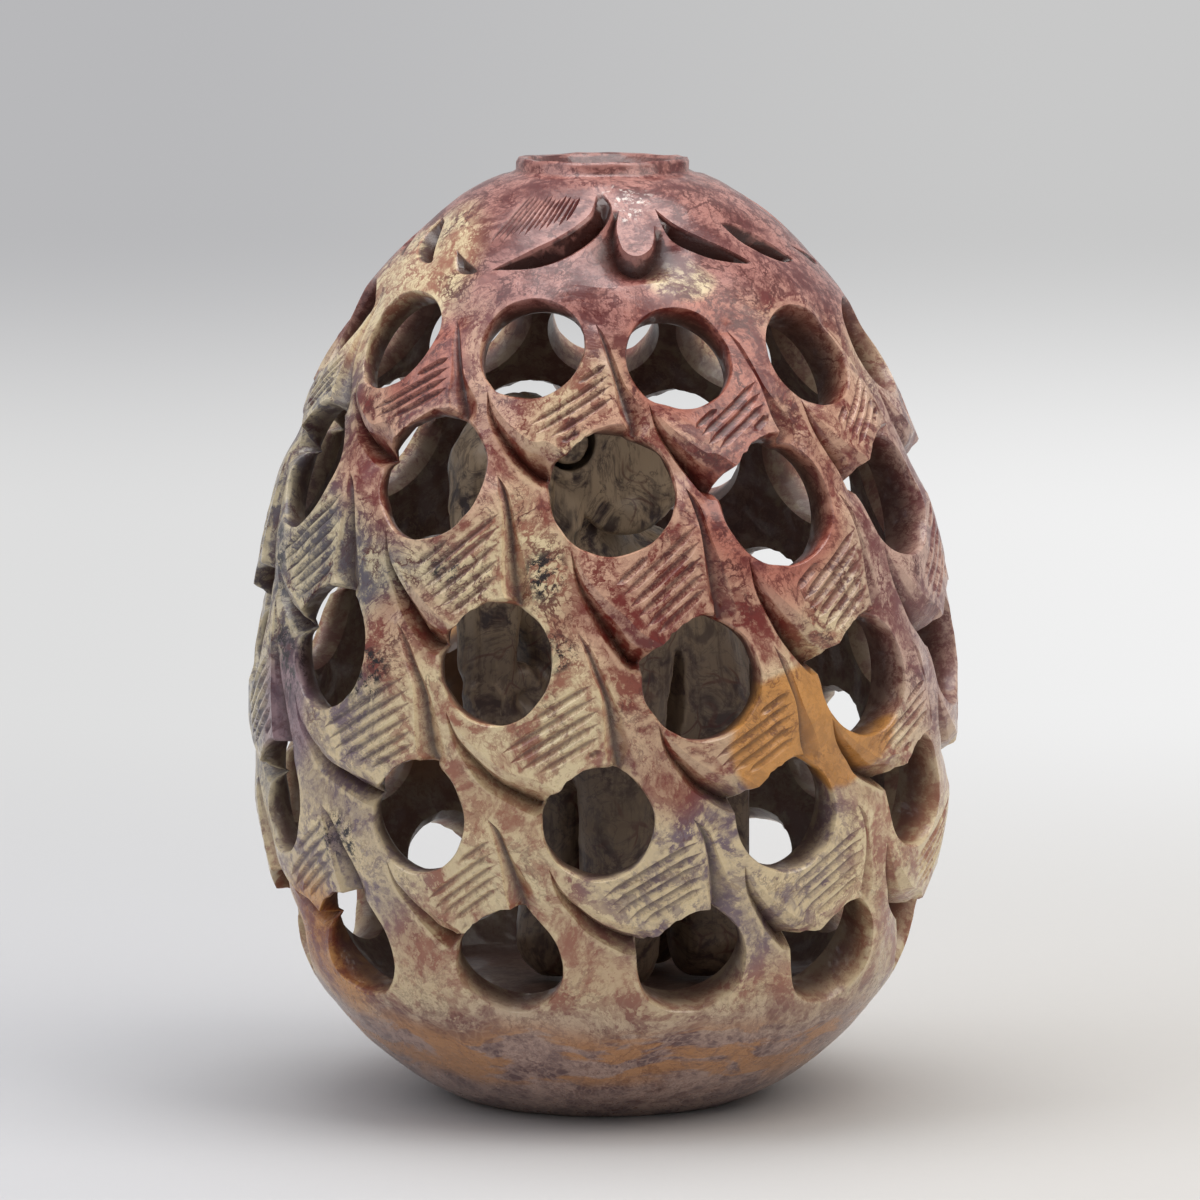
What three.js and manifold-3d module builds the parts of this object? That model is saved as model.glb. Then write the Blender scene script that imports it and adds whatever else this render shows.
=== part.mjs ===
// Pierced stone egg with a small elephant carved loose inside it.
// Millimetres, +Z up, origin at the centre of the flat foot, front of the egg towards -Y.
import * as THREE from 'three';
import { ConvexGeometry } from 'three/addons/geometries/ConvexGeometry.js';
import { mergeVertices } from 'three/addons/utils/BufferGeometryUtils.js';
import Module from 'manifold-3d';

// Egg. Its full curve is cut flat at the collar's seat and at the foot.
const EGG_RADIUS = 28.8;
const WIDEST_HEIGHT = 33;
const COLLAR_SEAT_HEIGHT = 74.6;
const CROWN_TIP_CUT = 1.9;
const FOOT_TIP_CUT = 2;
const BOWL_FULLNESS = 2.3;
const WALL = 3.3;
const FLOOR_HEIGHT = 9;
const CROWN_RISE = COLLAR_SEAT_HEIGHT + CROWN_TIP_CUT - WIDEST_HEIGHT;
const FOOT_DROP = WIDEST_HEIGHT + FOOT_TIP_CUT;

// Collar ring on the crown
const COLLAR_RADIUS = 7.1;
const COLLAR_HEIGHT = 1.4;
const COLLAR_RIM = 1;
const COLLAR_RECESS_DEPTH = 1;

// Pierced rows, spread between the top row, below the collar's seat, and the bottom row, above the floor
const HOLES_PER_ROW = 11;
const HOLE_RADIUS = 4.6;
const TOP_ROW_DROP = 12.6;
const BOTTOM_ROW_RISE = 5.4;
const BOTTOM_ROW_HEIGHT = FLOOR_HEIGHT + BOTTOM_ROW_RISE;
const ROW_SPREAD = COLLAR_SEAT_HEIGHT - TOP_ROW_DROP - BOTTOM_ROW_HEIGHT;
// rise is a row's share of the spread and size its share of the hole's radius.
// tilt leans the row down to the right of the front, in degrees.
const ROWS = [
  { name: 'lattice_row_1', rise: 1, size: 0.957, phase: 0.5, tilt: 2, leaf: true },
  { name: 'lattice_row_2', rise: 0.784, size: 1.13, phase: 0, tilt: 2.5, leaf: true },
  { name: 'lattice_row_3', rise: 0.492, size: 1.043, phase: 0.5, tilt: 1.5, leaf: true },
  { name: 'lattice_row_4', rise: 0.242, size: 1, phase: 0, tilt: 0, leaf: true },
  { name: 'lattice_row_5', rise: 0, size: 1, phase: 0.5, tilt: 0, leaf: false },
].map((row) => ({
  ...row,
  height: BOTTOM_ROW_HEIGHT + ROW_SPREAD * row.rise,
  holeRadius: HOLE_RADIUS * row.size,
}));
// Where the stone is divided between two rows, as a share of the step down to the next row
const BAND_SPLIT = 0.5;
const CROWN_CAP_DEPTH = 6.6;

// Hatched leaf under each hole: its undercut lip and the valley beside its rib
const POCKET_DEPTH = 1.9;
const POCKET_WIDTH = 3.4;
const VALLEY_DEPTH = 1.2;
const VALLEY_WIDTH = 3.2;
const CARVING_START_DEPTH = 0.3;
// Where the cuts start, in radii from the leaf's own hole, and end, in radii from the hole below it
const POCKET_START = [-0.75, -1.15];
const POCKET_END = [-0.97, 0.28];
const VALLEY_START = [1.54, -0.3];
const VALLEY_END = [0.4, 0.9];
// How much of a cut's width lies on its steep side
const POCKET_STEEP_SHARE = 0.25;
const VALLEY_STEEP_SHARE = 0.6;
// How far cutting tools stand proud of the stone, and a hole's drill is long, in walls
const TOOL_REACH = 1.5;
const DRILL_REACH = 6;

// Crown leaves, in equal units of one groove left of a bud and two to its right.
// turn and slant are in degrees to the right of the unit's front and up from level; stretch and sink are
// shares of a groove's length and drop.
const CROWN_UNITS = 3;
const CROWN_GROOVE_LENGTH = 11.4;
const CROWN_GROOVE_WIDTH = 2.4;
const CROWN_GROOVE_DEPTH = 1.9;
const CROWN_GROOVE_DROP = 4.2;
const CROWN_GROOVES = [
  { turn: -14, slant: 45, stretch: 1, sink: 1 },
  { turn: 32.5, slant: -42, stretch: 0.8, sink: 1 },
  { turn: 55, slant: -37, stretch: 0.66, sink: 1.15 },
];

// Elephant: its feet stand on the hollow's floor and its head stays below the crown
const FIGURE_CLEARANCE = 0.3;
const FIGURE_HEADROOM = 17.3;
const FIGURE_HEIGHT = COLLAR_SEAT_HEIGHT - FLOOR_HEIGHT - FIGURE_CLEARANCE - FIGURE_HEADROOM;
const FIGURE_TURN = 40;
const LEG_RADIUS = 3.2;
const LEG_LENGTH = 16;
const LEG_STANCE = 9.6;
const LEG_TRACK = 7.6;
const LEG_SHIFT = 3.3;
const LEG_SUNK = 2;
const BODY_LENGTH = 20;
const BODY_WIDTH = 14.4;
const BODY_DEPTH = 22.8;
const BODY_SHIFT = 2.8;
// Where the rump and the shoulders lie and how far they reach, as shares of the body's length, width and depth
const BODY_MASSES = [
  { name: 'rump', place: [0.23, 0, -0.14], reach: [0.29, 0.48, 0.46] },
  { name: 'shoulders', place: [-0.27, 0, 0.08], reach: [0.31, 0.48, 0.45] },
];
// The hollow between a front leg and a hind leg
const FLANK_GAP_WIDTH = 2;
const FLANK_GAP_DEPTH = 3.2;
const FLANK_GAP_HEIGHT = 22;
const FLANK_GAP_SHIFT = 2;
const HEAD_RADIUS = 6.4;
const HEAD_WIDTH = 11.4;
const HEAD_INSET = 1.8;
const NECK_LENGTH = 11.8;
const NECK_WIDTH = 10.4;
const NECK_INSET = 3;
const EAR_HEIGHT = 10.8;
const EAR_LENGTH = 10;
const EAR_THICKNESS = 3;
const EAR_SET_BACK = 5.2;
const EAR_RISE = 0.6;
const EAR_FLARE = 13.5;
const EAR_STANDOFF = 0.6;
const TRUNK_RADIUS = 2.8;
const TRUNK_ROOT_FORWARD = 1.6;
const TRUNK_FORWARD = 4.3;
const TRUNK_DROP = 13.6;
const TRUNK_SWAY = 1.2;
// The trunk's end, rolled up towards the legs
const TRUNK_CURL_RADIUS = 3.9;
const TRUNK_CURL_THICKNESS = 3.8;
const TRUNK_CURL_BACK = 1.4;
const TRUNK_CURL_DROP = 4;
const TUSK_RADIUS = 0.9;
const TUSK_LENGTH = 6;
const TUSK_GAP = 9.6;
const TUSK_SPLAY = 0.8;
const TUSK_SET_BACK = 0.8;
const TUSK_DROP = 1;
const TUSK_LEAN = 1.2;
// How much the neck's height exceeds the distance between the head's and the body's centres
const NECK_REACH = 1.05;

// Facets
const SEGMENTS = 44;
const OUTER_RINGS = 11;
const INNER_RINGS = 7;
const HOLE_SIDES = 12;

const wasm = await Module();
wasm.setup();

const degrees = THREE.MathUtils.degToRad;

function solid(geometry, matrix = new THREE.Matrix4()) {
  const clean = geometry.clone().applyMatrix4(matrix);
  clean.deleteAttribute('normal');
  clean.deleteAttribute('uv');
  const merged = mergeVertices(clean, 1e-4);
  return new wasm.Manifold(new wasm.Mesh({
    numProp: 3,
    vertProperties: new Float32Array(merged.attributes.position.array),
    triVerts: new Uint32Array(merged.index.array),
  }));
}

function geometryOf(manifold) {
  const mesh = manifold.getMesh();
  const geometry = new THREE.BufferGeometry();
  geometry.setAttribute('position', new THREE.BufferAttribute(mesh.vertProperties, 3));
  geometry.setIndex(new THREE.BufferAttribute(mesh.triVerts, 1));
  return geometry;
}

// A solid of revolution about Z from [radius, height] points that start and end on the axis
function turned(points) {
  const outline = points.map(([radius, height]) => new THREE.Vector2(radius, height));
  return solid(new THREE.LatheGeometry(outline, SEGMENTS), new THREE.Matrix4().makeRotationX(Math.PI / 2));
}

// Radius of an egg whose surface lies inset millimetres inside the outer one
function eggRadius(height, inset = 0) {
  const radius = EGG_RADIUS - inset;
  const above = height - WIDEST_HEIGHT;
  if (above >= 0) {
    return radius * Math.sqrt(Math.max(0, 1 - (above / (CROWN_RISE - inset)) ** 2));
  }
  const share = Math.min(1, -above / (FOOT_DROP - inset));
  return radius * (1 - share ** BOWL_FULLNESS) ** (1 / BOWL_FULLNESS);
}

// Elevation of the outward normal of the egg at a height
function normalElevation(height) {
  const step = 0.01;
  return -Math.atan((eggRadius(height + step) - eggRadius(height - step)) / (2 * step));
}

// Frame on the egg's surface: X to the right seen from outside, Y up the surface, Z outwards
function surfaceFrame(azimuth, height) {
  const elevation = normalElevation(height);
  const outward = new THREE.Vector3(
    Math.sin(azimuth) * Math.cos(elevation), -Math.cos(azimuth) * Math.cos(elevation), Math.sin(elevation));
  const right = new THREE.Vector3(Math.cos(azimuth), Math.sin(azimuth), 0);
  const up = new THREE.Vector3().crossVectors(outward, right);
  const radius = eggRadius(height);
  return new THREE.Matrix4().makeBasis(right, up, outward)
    .setPosition(radius * Math.sin(azimuth), -radius * Math.cos(azimuth), height);
}

function holeAzimuth(row, index) {
  return (index + row.phase) * 2 * Math.PI / HOLES_PER_ROW;
}

function holeHeight(row, azimuth) {
  return row.height - eggRadius(row.height) * Math.sin(azimuth) * Math.tan(degrees(row.tilt));
}

function outerEgg() {
  const points = [[0, 0]];
  for (let i = 0; i <= OUTER_RINGS; i += 1) {
    // Cosine spacing puts more rings where the egg curves most
    const height = COLLAR_SEAT_HEIGHT * (1 - Math.cos(Math.PI * i / OUTER_RINGS)) / 2;
    points.push([eggRadius(height), height]);
  }
  points.push([0, COLLAR_SEAT_HEIGHT]);
  return turned(points);
}

function innerHollow() {
  const top = WIDEST_HEIGHT + CROWN_RISE - WALL;
  const points = [[0, FLOOR_HEIGHT]];
  for (let i = 0; i < INNER_RINGS; i += 1) {
    const height = FLOOR_HEIGHT + (top - FLOOR_HEIGHT) * Math.sin(Math.PI / 2 * i / INNER_RINGS);
    points.push([eggRadius(height, WALL), height]);
  }
  points.push([0, top]);
  return turned(points);
}

function holeDrill(row, index) {
  const azimuth = holeAzimuth(row, index);
  const depth = DRILL_REACH * WALL;
  const drill = new THREE.CylinderGeometry(row.holeRadius, row.holeRadius, depth, HOLE_SIDES);
  drill.rotateX(Math.PI / 2);
  return solid(drill, surfaceFrame(azimuth, holeHeight(row, azimuth)));
}

// A V cut that deepens from one [across, along] station of a surface frame to another
function taperedCut(frame, start, end, depth, width, steepShare) {
  const direction = new THREE.Vector2(end[0] - start[0], end[1] - start[1]).normalize();
  const side = new THREE.Vector2(-direction.y, direction.x);
  const points = [];
  for (const [at, cut] of [[start, CARVING_START_DEPTH], [end, depth]]) {
    const topWidth = width * (cut + TOOL_REACH) / depth;
    points.push(new THREE.Vector3(at[0], at[1], -cut));
    for (const reach of [topWidth * steepShare, -topWidth * (1 - steepShare)]) {
      points.push(new THREE.Vector3(at[0] + side.x * reach, at[1] + side.y * reach, TOOL_REACH));
    }
  }
  return solid(new ConvexGeometry(points), frame);
}

// The cuts that shape the leaf under a hole: the pocket along its lip and the valley beside its rib
function leafCuts(row, next, index) {
  const azimuth = holeAzimuth(row, index);
  const height = holeHeight(row, azimuth);
  const nextAzimuth = azimuth + Math.PI / HOLES_PER_ROW;
  const drop = height - holeHeight(next, nextAzimuth);
  const across = (azimuth + nextAzimuth) / 2;
  const frame = surfaceFrame(across, height - drop / 2);
  const run = eggRadius(height - drop / 2) * Math.PI / HOLES_PER_ROW;
  const rise = drop / Math.cos(normalElevation(height - drop / 2));
  const hole = [-run / 2, rise / 2];
  const nextHole = [run / 2, -rise / 2];
  const from = (centre, radius, share) => [centre[0] + radius * share[0], centre[1] + radius * share[1]];
  return [
    taperedCut(frame, from(hole, row.holeRadius, POCKET_START), from(nextHole, next.holeRadius, POCKET_END),
      POCKET_DEPTH, POCKET_WIDTH, POCKET_STEEP_SHARE),
    taperedCut(frame, from(hole, row.holeRadius, VALLEY_START), from(nextHole, next.holeRadius, VALLEY_END),
      VALLEY_DEPTH, VALLEY_WIDTH, VALLEY_STEEP_SHARE),
  ];
}

// A lens-shaped groove beside a crown bud
function crownGroove(unit, { turn, slant, stretch, sink }) {
  const azimuth = unit * 2 * Math.PI / CROWN_UNITS + degrees(turn);
  const groove = new THREE.SphereGeometry(1, 8, 4);
  groove.scale(CROWN_GROOVE_LENGTH * stretch / 2, CROWN_GROOVE_WIDTH / 2, CROWN_GROOVE_DEPTH);
  groove.rotateZ(degrees(slant));
  return solid(groove, surfaceFrame(azimuth, COLLAR_SEAT_HEIGHT - CROWN_GROOVE_DROP * sink));
}

function piercedShell() {
  let shell = outerEgg().subtract(innerHollow());
  for (let r = 0; r < ROWS.length; r += 1) {
    for (let i = 0; i < HOLES_PER_ROW; i += 1) {
      if (ROWS[r].leaf) {
        for (const cut of leafCuts(ROWS[r], ROWS[r + 1], i)) {
          shell = shell.subtract(cut);
        }
      }
      shell = shell.subtract(holeDrill(ROWS[r], i));
    }
  }
  for (let unit = 0; unit < CROWN_UNITS; unit += 1) {
    for (const groove of CROWN_GROOVES) {
      shell = shell.subtract(crownGroove(unit, groove));
    }
  }
  return shell;
}

// Everything below a cone that crosses the wall squarely at a height
function belowCone(height) {
  const reach = 2 * EGG_RADIUS;
  const slope = Math.tan(normalElevation(height));
  const radius = eggRadius(height);
  return turned([
    [0, -reach], [reach, -reach], [reach, height + (reach - radius) * slope], [0, height - radius * slope],
  ]);
}

function bandHeights() {
  const heights = [COLLAR_SEAT_HEIGHT - CROWN_CAP_DEPTH];
  for (let r = 0; r + 1 < ROWS.length; r += 1) {
    heights.push(ROWS[r].height + (ROWS[r + 1].height - ROWS[r].height) * BAND_SPLIT);
  }
  return heights;
}

function collarRing() {
  const top = COLLAR_SEAT_HEIGHT + COLLAR_HEIGHT;
  return turned([
    [0, COLLAR_SEAT_HEIGHT], [COLLAR_RADIUS, COLLAR_SEAT_HEIGHT], [COLLAR_RADIUS, top],
    [COLLAR_RADIUS - COLLAR_RIM, top], [COLLAR_RADIUS - COLLAR_RIM, top - COLLAR_RECESS_DEPTH],
    [0, top - COLLAR_RECESS_DEPTH],
  ]);
}

function ball(radii, centre) {
  const geometry = new THREE.SphereGeometry(1, 10, 6);
  geometry.rotateX(Math.PI / 2);
  geometry.scale(...radii);
  return solid(geometry, new THREE.Matrix4().makeTranslation(...centre));
}

function limb(points, radius, steps, sides) {
  const path = new THREE.CatmullRomCurve3(points.map((p) => new THREE.Vector3(...p)));
  const section = new THREE.Shape();
  section.absarc(0, 0, radius, 0, 2 * Math.PI);
  return solid(new THREE.ExtrudeGeometry(section, {
    extrudePath: path, steps, curveSegments: sides, bevelEnabled: false,
  }));
}

// The elephant faces -X before it is turned, with its feet at height 0
function elephant() {
  const bodyHeight = LEG_LENGTH - LEG_SUNK + BODY_DEPTH / 2;
  const headHeight = FIGURE_HEIGHT - HEAD_RADIUS;
  const headX = HEAD_INSET - BODY_LENGTH / 2;
  const size = [BODY_LENGTH, BODY_WIDTH, BODY_DEPTH];
  const centre = [BODY_SHIFT, 0, bodyHeight];
  let figure = ball(size.map((s) => s / 2), centre);
  for (const mass of BODY_MASSES) {
    figure = figure.add(ball(size.map((s, i) => s * mass.reach[i]), centre.map((c, i) => c + size[i] * mass.place[i])));
  }
  figure = figure.add(ball([HEAD_RADIUS, HEAD_WIDTH / 2, HEAD_RADIUS], [headX, 0, headHeight]));
  figure = figure.add(ball([NECK_LENGTH / 2, NECK_WIDTH / 2, (headHeight - bodyHeight) * NECK_REACH / 2],
    [headX + NECK_INSET, 0, (bodyHeight + headHeight) / 2]));
  for (const side of [-1, 1]) {
    for (const end of [-1, 1]) {
      const foot = [end * LEG_STANCE / 2 + LEG_SHIFT, side * LEG_TRACK / 2];
      figure = figure.add(limb([[...foot, 0], [...foot, LEG_LENGTH + BODY_DEPTH / 4]], LEG_RADIUS, 1, 8));
    }
    figure = figure.subtract(ball([FLANK_GAP_WIDTH / 2, FLANK_GAP_DEPTH, FLANK_GAP_HEIGHT / 2],
      [FLANK_GAP_SHIFT, side * BODY_WIDTH / 2, LEG_LENGTH]));
    figure = figure.add(ear(side, [headX + EAR_SET_BACK, side * (HEAD_WIDTH / 2 + EAR_STANDOFF), headHeight + EAR_RISE]));
    const tusk = [headX + TUSK_SET_BACK, side * TUSK_GAP / 2, headHeight - TUSK_DROP];
    figure = figure.add(limb([
      tusk, [tusk[0] - TUSK_LEAN, tusk[1] + side * TUSK_SPLAY, tusk[2] - TUSK_LENGTH],
    ], TUSK_RADIUS, 1, 6));
  }
  // The trunk hangs from the brow and sways to the side that the front shows
  const trunkX = headX - TRUNK_FORWARD;
  const tip = [trunkX, -TRUNK_SWAY, headHeight - TRUNK_DROP];
  figure = figure.add(limb([
    [headX - TRUNK_ROOT_FORWARD, 0, headHeight],
    [trunkX, -TRUNK_SWAY / 2, headHeight - TRUNK_FORWARD],
    tip,
  ], TRUNK_RADIUS, 6, 8));
  return figure.add(ball([TRUNK_CURL_RADIUS, TRUNK_CURL_THICKNESS / 2, TRUNK_CURL_RADIUS],
    [tip[0] + TRUNK_CURL_BACK, -TRUNK_SWAY * 3 / 2, tip[2] - TRUNK_CURL_DROP]));
}

function ear(side, place) {
  const plate = new THREE.SphereGeometry(1, 10, 6);
  plate.rotateX(Math.PI / 2);
  plate.scale(EAR_LENGTH / 2, EAR_THICKNESS / 2, EAR_HEIGHT / 2);
  plate.rotateZ(side * degrees(EAR_FLARE));
  return solid(plate, new THREE.Matrix4().makeTranslation(...place));
}

function stone(color, roughness) {
  return new THREE.MeshStandardMaterial({ color, roughness, metalness: 0 });
}

const SHELL_TINTS = ['#a4717a', '#b98a80', '#c39a86', '#c9ab8c', '#b7a493', '#9a8a88', '#8f7f7c'];

function shellNodes(group) {
  const add = (name, manifold, color) => {
    const mesh = new THREE.Mesh(geometryOf(manifold), stone(color, 0.45));
    mesh.name = name;
    group.add(mesh);
  };
  let rest = piercedShell();
  const heights = bandHeights();
  const names = ['crown_leaf_cap', ...ROWS.map((row) => row.name)];
  for (let i = 0; i < names.length - 1; i += 1) {
    const cutter = belowCone(heights[i]);
    add(names[i], rest.subtract(cutter), SHELL_TINTS[i]);
    rest = rest.intersect(cutter);
  }
  add('foot_bowl', rest, SHELL_TINTS[names.length - 1]);
  add('top_collar', collarRing(), SHELL_TINTS[0]);
}

const group = new THREE.Group();
shellNodes(group);

const figure = new THREE.Mesh(geometryOf(elephant()), stone('#8d7f76', 0.55));
figure.name = 'inner_elephant';
figure.position.set(0, 0, FLOOR_HEIGHT + FIGURE_CLEARANCE);
figure.rotation.z = degrees(FIGURE_TURN);
group.add(figure);

export default group;
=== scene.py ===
"""Pierced soapstone egg with a small elephant carved loose inside it.

The egg is one skin: its outer face, drilled holes, hollow, foot and collar. The leaves between the
holes are drawn as curves on the egg's surface, each with a depth, and the stone between the curves is
fitted to them. Lengths in this file are millimetres until the meshes are made.
"""

import math

import bpy
import numpy as np
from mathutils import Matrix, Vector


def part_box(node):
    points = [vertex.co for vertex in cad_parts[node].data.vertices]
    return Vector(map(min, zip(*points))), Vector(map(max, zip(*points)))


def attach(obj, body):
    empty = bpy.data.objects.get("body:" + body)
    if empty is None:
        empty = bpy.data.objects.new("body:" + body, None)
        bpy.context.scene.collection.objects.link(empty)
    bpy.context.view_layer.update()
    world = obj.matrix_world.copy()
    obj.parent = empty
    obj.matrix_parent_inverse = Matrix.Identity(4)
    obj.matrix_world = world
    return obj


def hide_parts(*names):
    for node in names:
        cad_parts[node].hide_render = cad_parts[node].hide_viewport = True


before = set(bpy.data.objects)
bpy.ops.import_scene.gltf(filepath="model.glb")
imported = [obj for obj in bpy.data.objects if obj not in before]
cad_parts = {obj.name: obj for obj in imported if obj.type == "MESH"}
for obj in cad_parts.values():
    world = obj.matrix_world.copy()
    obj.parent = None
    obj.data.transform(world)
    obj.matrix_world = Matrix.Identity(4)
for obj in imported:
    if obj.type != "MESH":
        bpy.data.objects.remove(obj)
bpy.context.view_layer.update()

import openvdb
from bpy.props import FloatProperty, FloatVectorProperty, IntProperty, PointerProperty
from mathutils import Vector, noise
from mathutils.geometry import delaunay_2d_cdt
from mathutils.kdtree import KDTree

bl_info = {
    "name": "Pierced Stone Egg",
    "version": (1, 0, 0),
    "blender": (4, 5, 0),
    "location": "3D View > Sidebar > Egg",
    "description": "Carves a pierced soapstone egg with an elephant inside it",
    "category": "Mesh",
}

MM = 0.001


def cad_mm(node):
    """Lowest and highest corners of a CAD node in millimetres."""
    low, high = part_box(node)
    return np.array(low) / MM, np.array(high) / MM


# Outline of the egg, in step with the CAD solids
EGG_RADIUS = float(cad_mm("lattice_row_3")[1][0])
SEAT_HEIGHT = float(cad_mm("top_collar")[0][2])
COLLAR_TOP = float(cad_mm("top_collar")[1][2])
COLLAR_RADIUS = float(cad_mm("top_collar")[1][0])
WIDEST_HEIGHT = 33.0
# How far the outline would run on past the seat and past the foot before it closed
PAST_SEAT = 1.9
PAST_FOOT = 2.0
CROWN_RISE = SEAT_HEIGHT + PAST_SEAT - WIDEST_HEIGHT
FOOT_DROP = WIDEST_HEIGHT + PAST_FOOT
BOWL_FULLNESS = 2.3
FLOOR_HEIGHT = 9.0

# Pierced rows, from the crown down: height, hole radius, offset in columns and lean to the right
COLUMNS = 11
ROWS = (
    (62.0, 4.4, 0.5, 2.0),
    (51.7, 5.2, 0.0, 2.5),
    (37.8, 4.9, 0.5, 1.5),
    (25.9, 4.6, 0.0, 0.0),
    (14.4, 4.6, 0.5, 0.0),
)
# How far the carver strayed from even spacing on the front: degrees to the right and millimetres up, for each
# row and for the columns named here
SHIFTED_COLUMNS = (9, 10, 0, 1, 2)
HOLE_SHIFTS = (
    ((-2.0, 0.0), (0.8, 0.2), (0.0, -0.1), (0.1, 0.0), (-1.5, 0.1)),
    ((-2.0, -0.5), (0.0, 0.3), (1.5, 0.0), (-0.7, -0.4), (-2.0, -0.4)),
    ((-1.7, 0.2), (-1.3, 0.4), (-0.4, -0.3), (-2.0, -0.6), (-2.0, 0.2)),
    ((-2.0, -0.2), (1.1, 0.0), (-0.8, 0.1), (-1.5, 0.2), (-2.0, 0.6)),
    ((-2.0, 0.2), (-0.9, 0.1), (-0.2, 0.1), (-2.0, -0.3)),
)
RIM_POINTS = 72
RIM_DEGREES = np.arange(RIM_POINTS) * 360 / RIM_POINTS
PROFILE_STEPS = 6001
# The carver's cell: where the next hole lies, right and down, in the cell that the curves are drawn in
CELL_RUN = 8.0
CELL_DROP = 14.4


def turn_between(azimuth, other):
    """How far to the right an azimuth lies of another, by the shorter way round."""
    return (azimuth - other + math.pi) % (2 * math.pi) - math.pi


def round_turn(count):
    """Even azimuths once round the egg."""
    return np.arange(count) * 2 * math.pi / count


def chance(x, y, z):
    """An uneven value between -1 and 1 that is the same on each run."""
    return noise.noise(Vector((x, y, z)))


def egg_radius(height, inset=0.0):
    """Radius of the egg's outline at a height, or of the outline that lies an inset inside it."""
    height = np.asarray(height, float)
    up = (height - WIDEST_HEIGHT) / (CROWN_RISE - inset)
    down = np.clip((WIDEST_HEIGHT - height) / (FOOT_DROP - inset), 0, 1)
    crown = np.sqrt(np.clip(1 - up ** 2, 0, None))
    bowl = np.clip(1 - down ** BOWL_FULLNESS, 0, None) ** (1 / BOWL_FULLNESS)
    return (EGG_RADIUS - inset) * np.where(height >= WIDEST_HEIGHT, crown, bowl)


class Profile:
    """A meridian of the egg, measured by its arc length from the foot."""

    def __init__(self, bottom, top, inset=0.0):
        self.height = np.linspace(bottom, top, PROFILE_STEPS)
        self.radius = egg_radius(self.height, inset)
        rise = np.gradient(self.height)
        run = np.gradient(self.radius)
        length = np.hypot(rise, run)
        self.out = rise / length
        self.up = -run / length
        step = np.hypot(np.diff(self.height), np.diff(self.radius))
        middle = (self.radius[1:] + self.radius[:-1]) / 2
        self.arc = np.concatenate([[0], np.cumsum(step)])
        # Equal steps of this in height and of azimuth are equal lengths on the stone
        self.swell = np.concatenate([[0], np.cumsum(step / middle)])

    def at(self, arc, values):
        return np.interp(arc, self.arc, values)

    def arc_of(self, height):
        return float(np.interp(height, self.height, self.arc))

    def radius_at(self, arc):
        return self.at(arc, self.radius)

    def place(self, azimuth, arc, depth=0.0):
        """Points on the surface, moved along its normal by depth."""
        radius = self.at(arc, self.radius) + depth * self.at(arc, self.out)
        height = self.at(arc, self.height) + depth * self.at(arc, self.up)
        return np.stack([radius * np.sin(azimuth), -radius * np.cos(azimuth), height], -1)

    def flat(self, azimuth, arc):
        """Points on a plane where small shapes keep their form, for the triangulation."""
        reach = np.exp(-self.at(arc, self.swell))
        return np.stack([reach * np.sin(azimuth), reach * np.cos(azimuth)], -1)


class Sheet:
    """Points on a surface, joined by curves, that become one triangulated skin."""

    def __init__(self, profile):
        self.profile = profile
        self.azimuth = []
        self.arc = []
        self.depth = []
        self.grime = []
        self.edges = []
        self.crisp = []
        self.rims = []

    def points(self, azimuth, arc, depth, grime=0.0):
        first = len(self.azimuth)
        count = len(azimuth)
        self.azimuth.extend(np.asarray(azimuth, float))
        self.arc.extend(np.asarray(arc, float))
        self.depth.extend(np.broadcast_to(np.asarray(depth, float), count))
        self.grime.extend(np.broadcast_to(np.asarray(grime, float), count))
        return list(range(first, first + count))

    def join(self, indices, closed=False, crisp=True, rim=False):
        pairs = list(zip(indices[:-1], indices[1:]))
        if closed:
            pairs.append((indices[-1], indices[0]))
        self.edges.extend(pairs)
        self.crisp.extend([crisp] * len(pairs))
        self.rims.extend([rim] * len(pairs))


def curve_through(points, step):
    """A smooth curve through points of two coordinates and any further values, at about one step."""
    points = np.asarray(points, float)
    ends = np.vstack([2 * points[0] - points[1], points, 2 * points[-1] - points[-2]])
    result = []
    for i in range(1, len(ends) - 2):
        a, b, c, d = ends[i - 1], ends[i], ends[i + 1], ends[i + 2]
        count = max(1, int(round(np.linalg.norm(c[:2] - b[:2]) / step)))
        for t in np.arange(count) / count:
            near = 2 * b + (c - a) * t + (2 * a - 5 * b + 4 * c - d) * t * t + (3 * b - a - 3 * c + d) * t ** 3
            result.append(near / 2)
    result.append(points[-1])
    result = np.array(result)
    # Depths are blended straight, so that they don't overshoot
    along = np.concatenate([[0], np.cumsum(np.linalg.norm(np.diff(result[:, :2], axis=0), axis=1))])
    given = [int(np.argmin(np.linalg.norm(result[:, :2] - p[:2], axis=1))) for p in points]
    for column in range(2, result.shape[1]):
        result[:, column] = np.interp(along, along[given], points[:, column])
    return result


class Hole:
    """A hole as it was drilled: its middle on the egg's outline, its radius and its row."""

    def __init__(self, row, column):
        height, self.radius, phase, lean = ROWS[row]
        self.row = row
        self.azimuth = (column + phase) * 2 * math.pi / COLUMNS
        drop = float(egg_radius(height)) * math.sin(self.azimuth) * math.tan(math.radians(lean))
        shifts = dict(zip(SHIFTED_COLUMNS, HOLE_SHIFTS[row]))
        turn, rise = shifts.get(column, (chance(row * 3.7, column * 2.3, 0.5),
                                         0.5 * chance(row * 2.9, column * 4.1, 7.5)))
        self.azimuth += math.radians(turn)
        self.arc = OUTER.arc_of(height - drop + rise)


OUTER = Profile(0.0, SEAT_HEIGHT)

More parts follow.
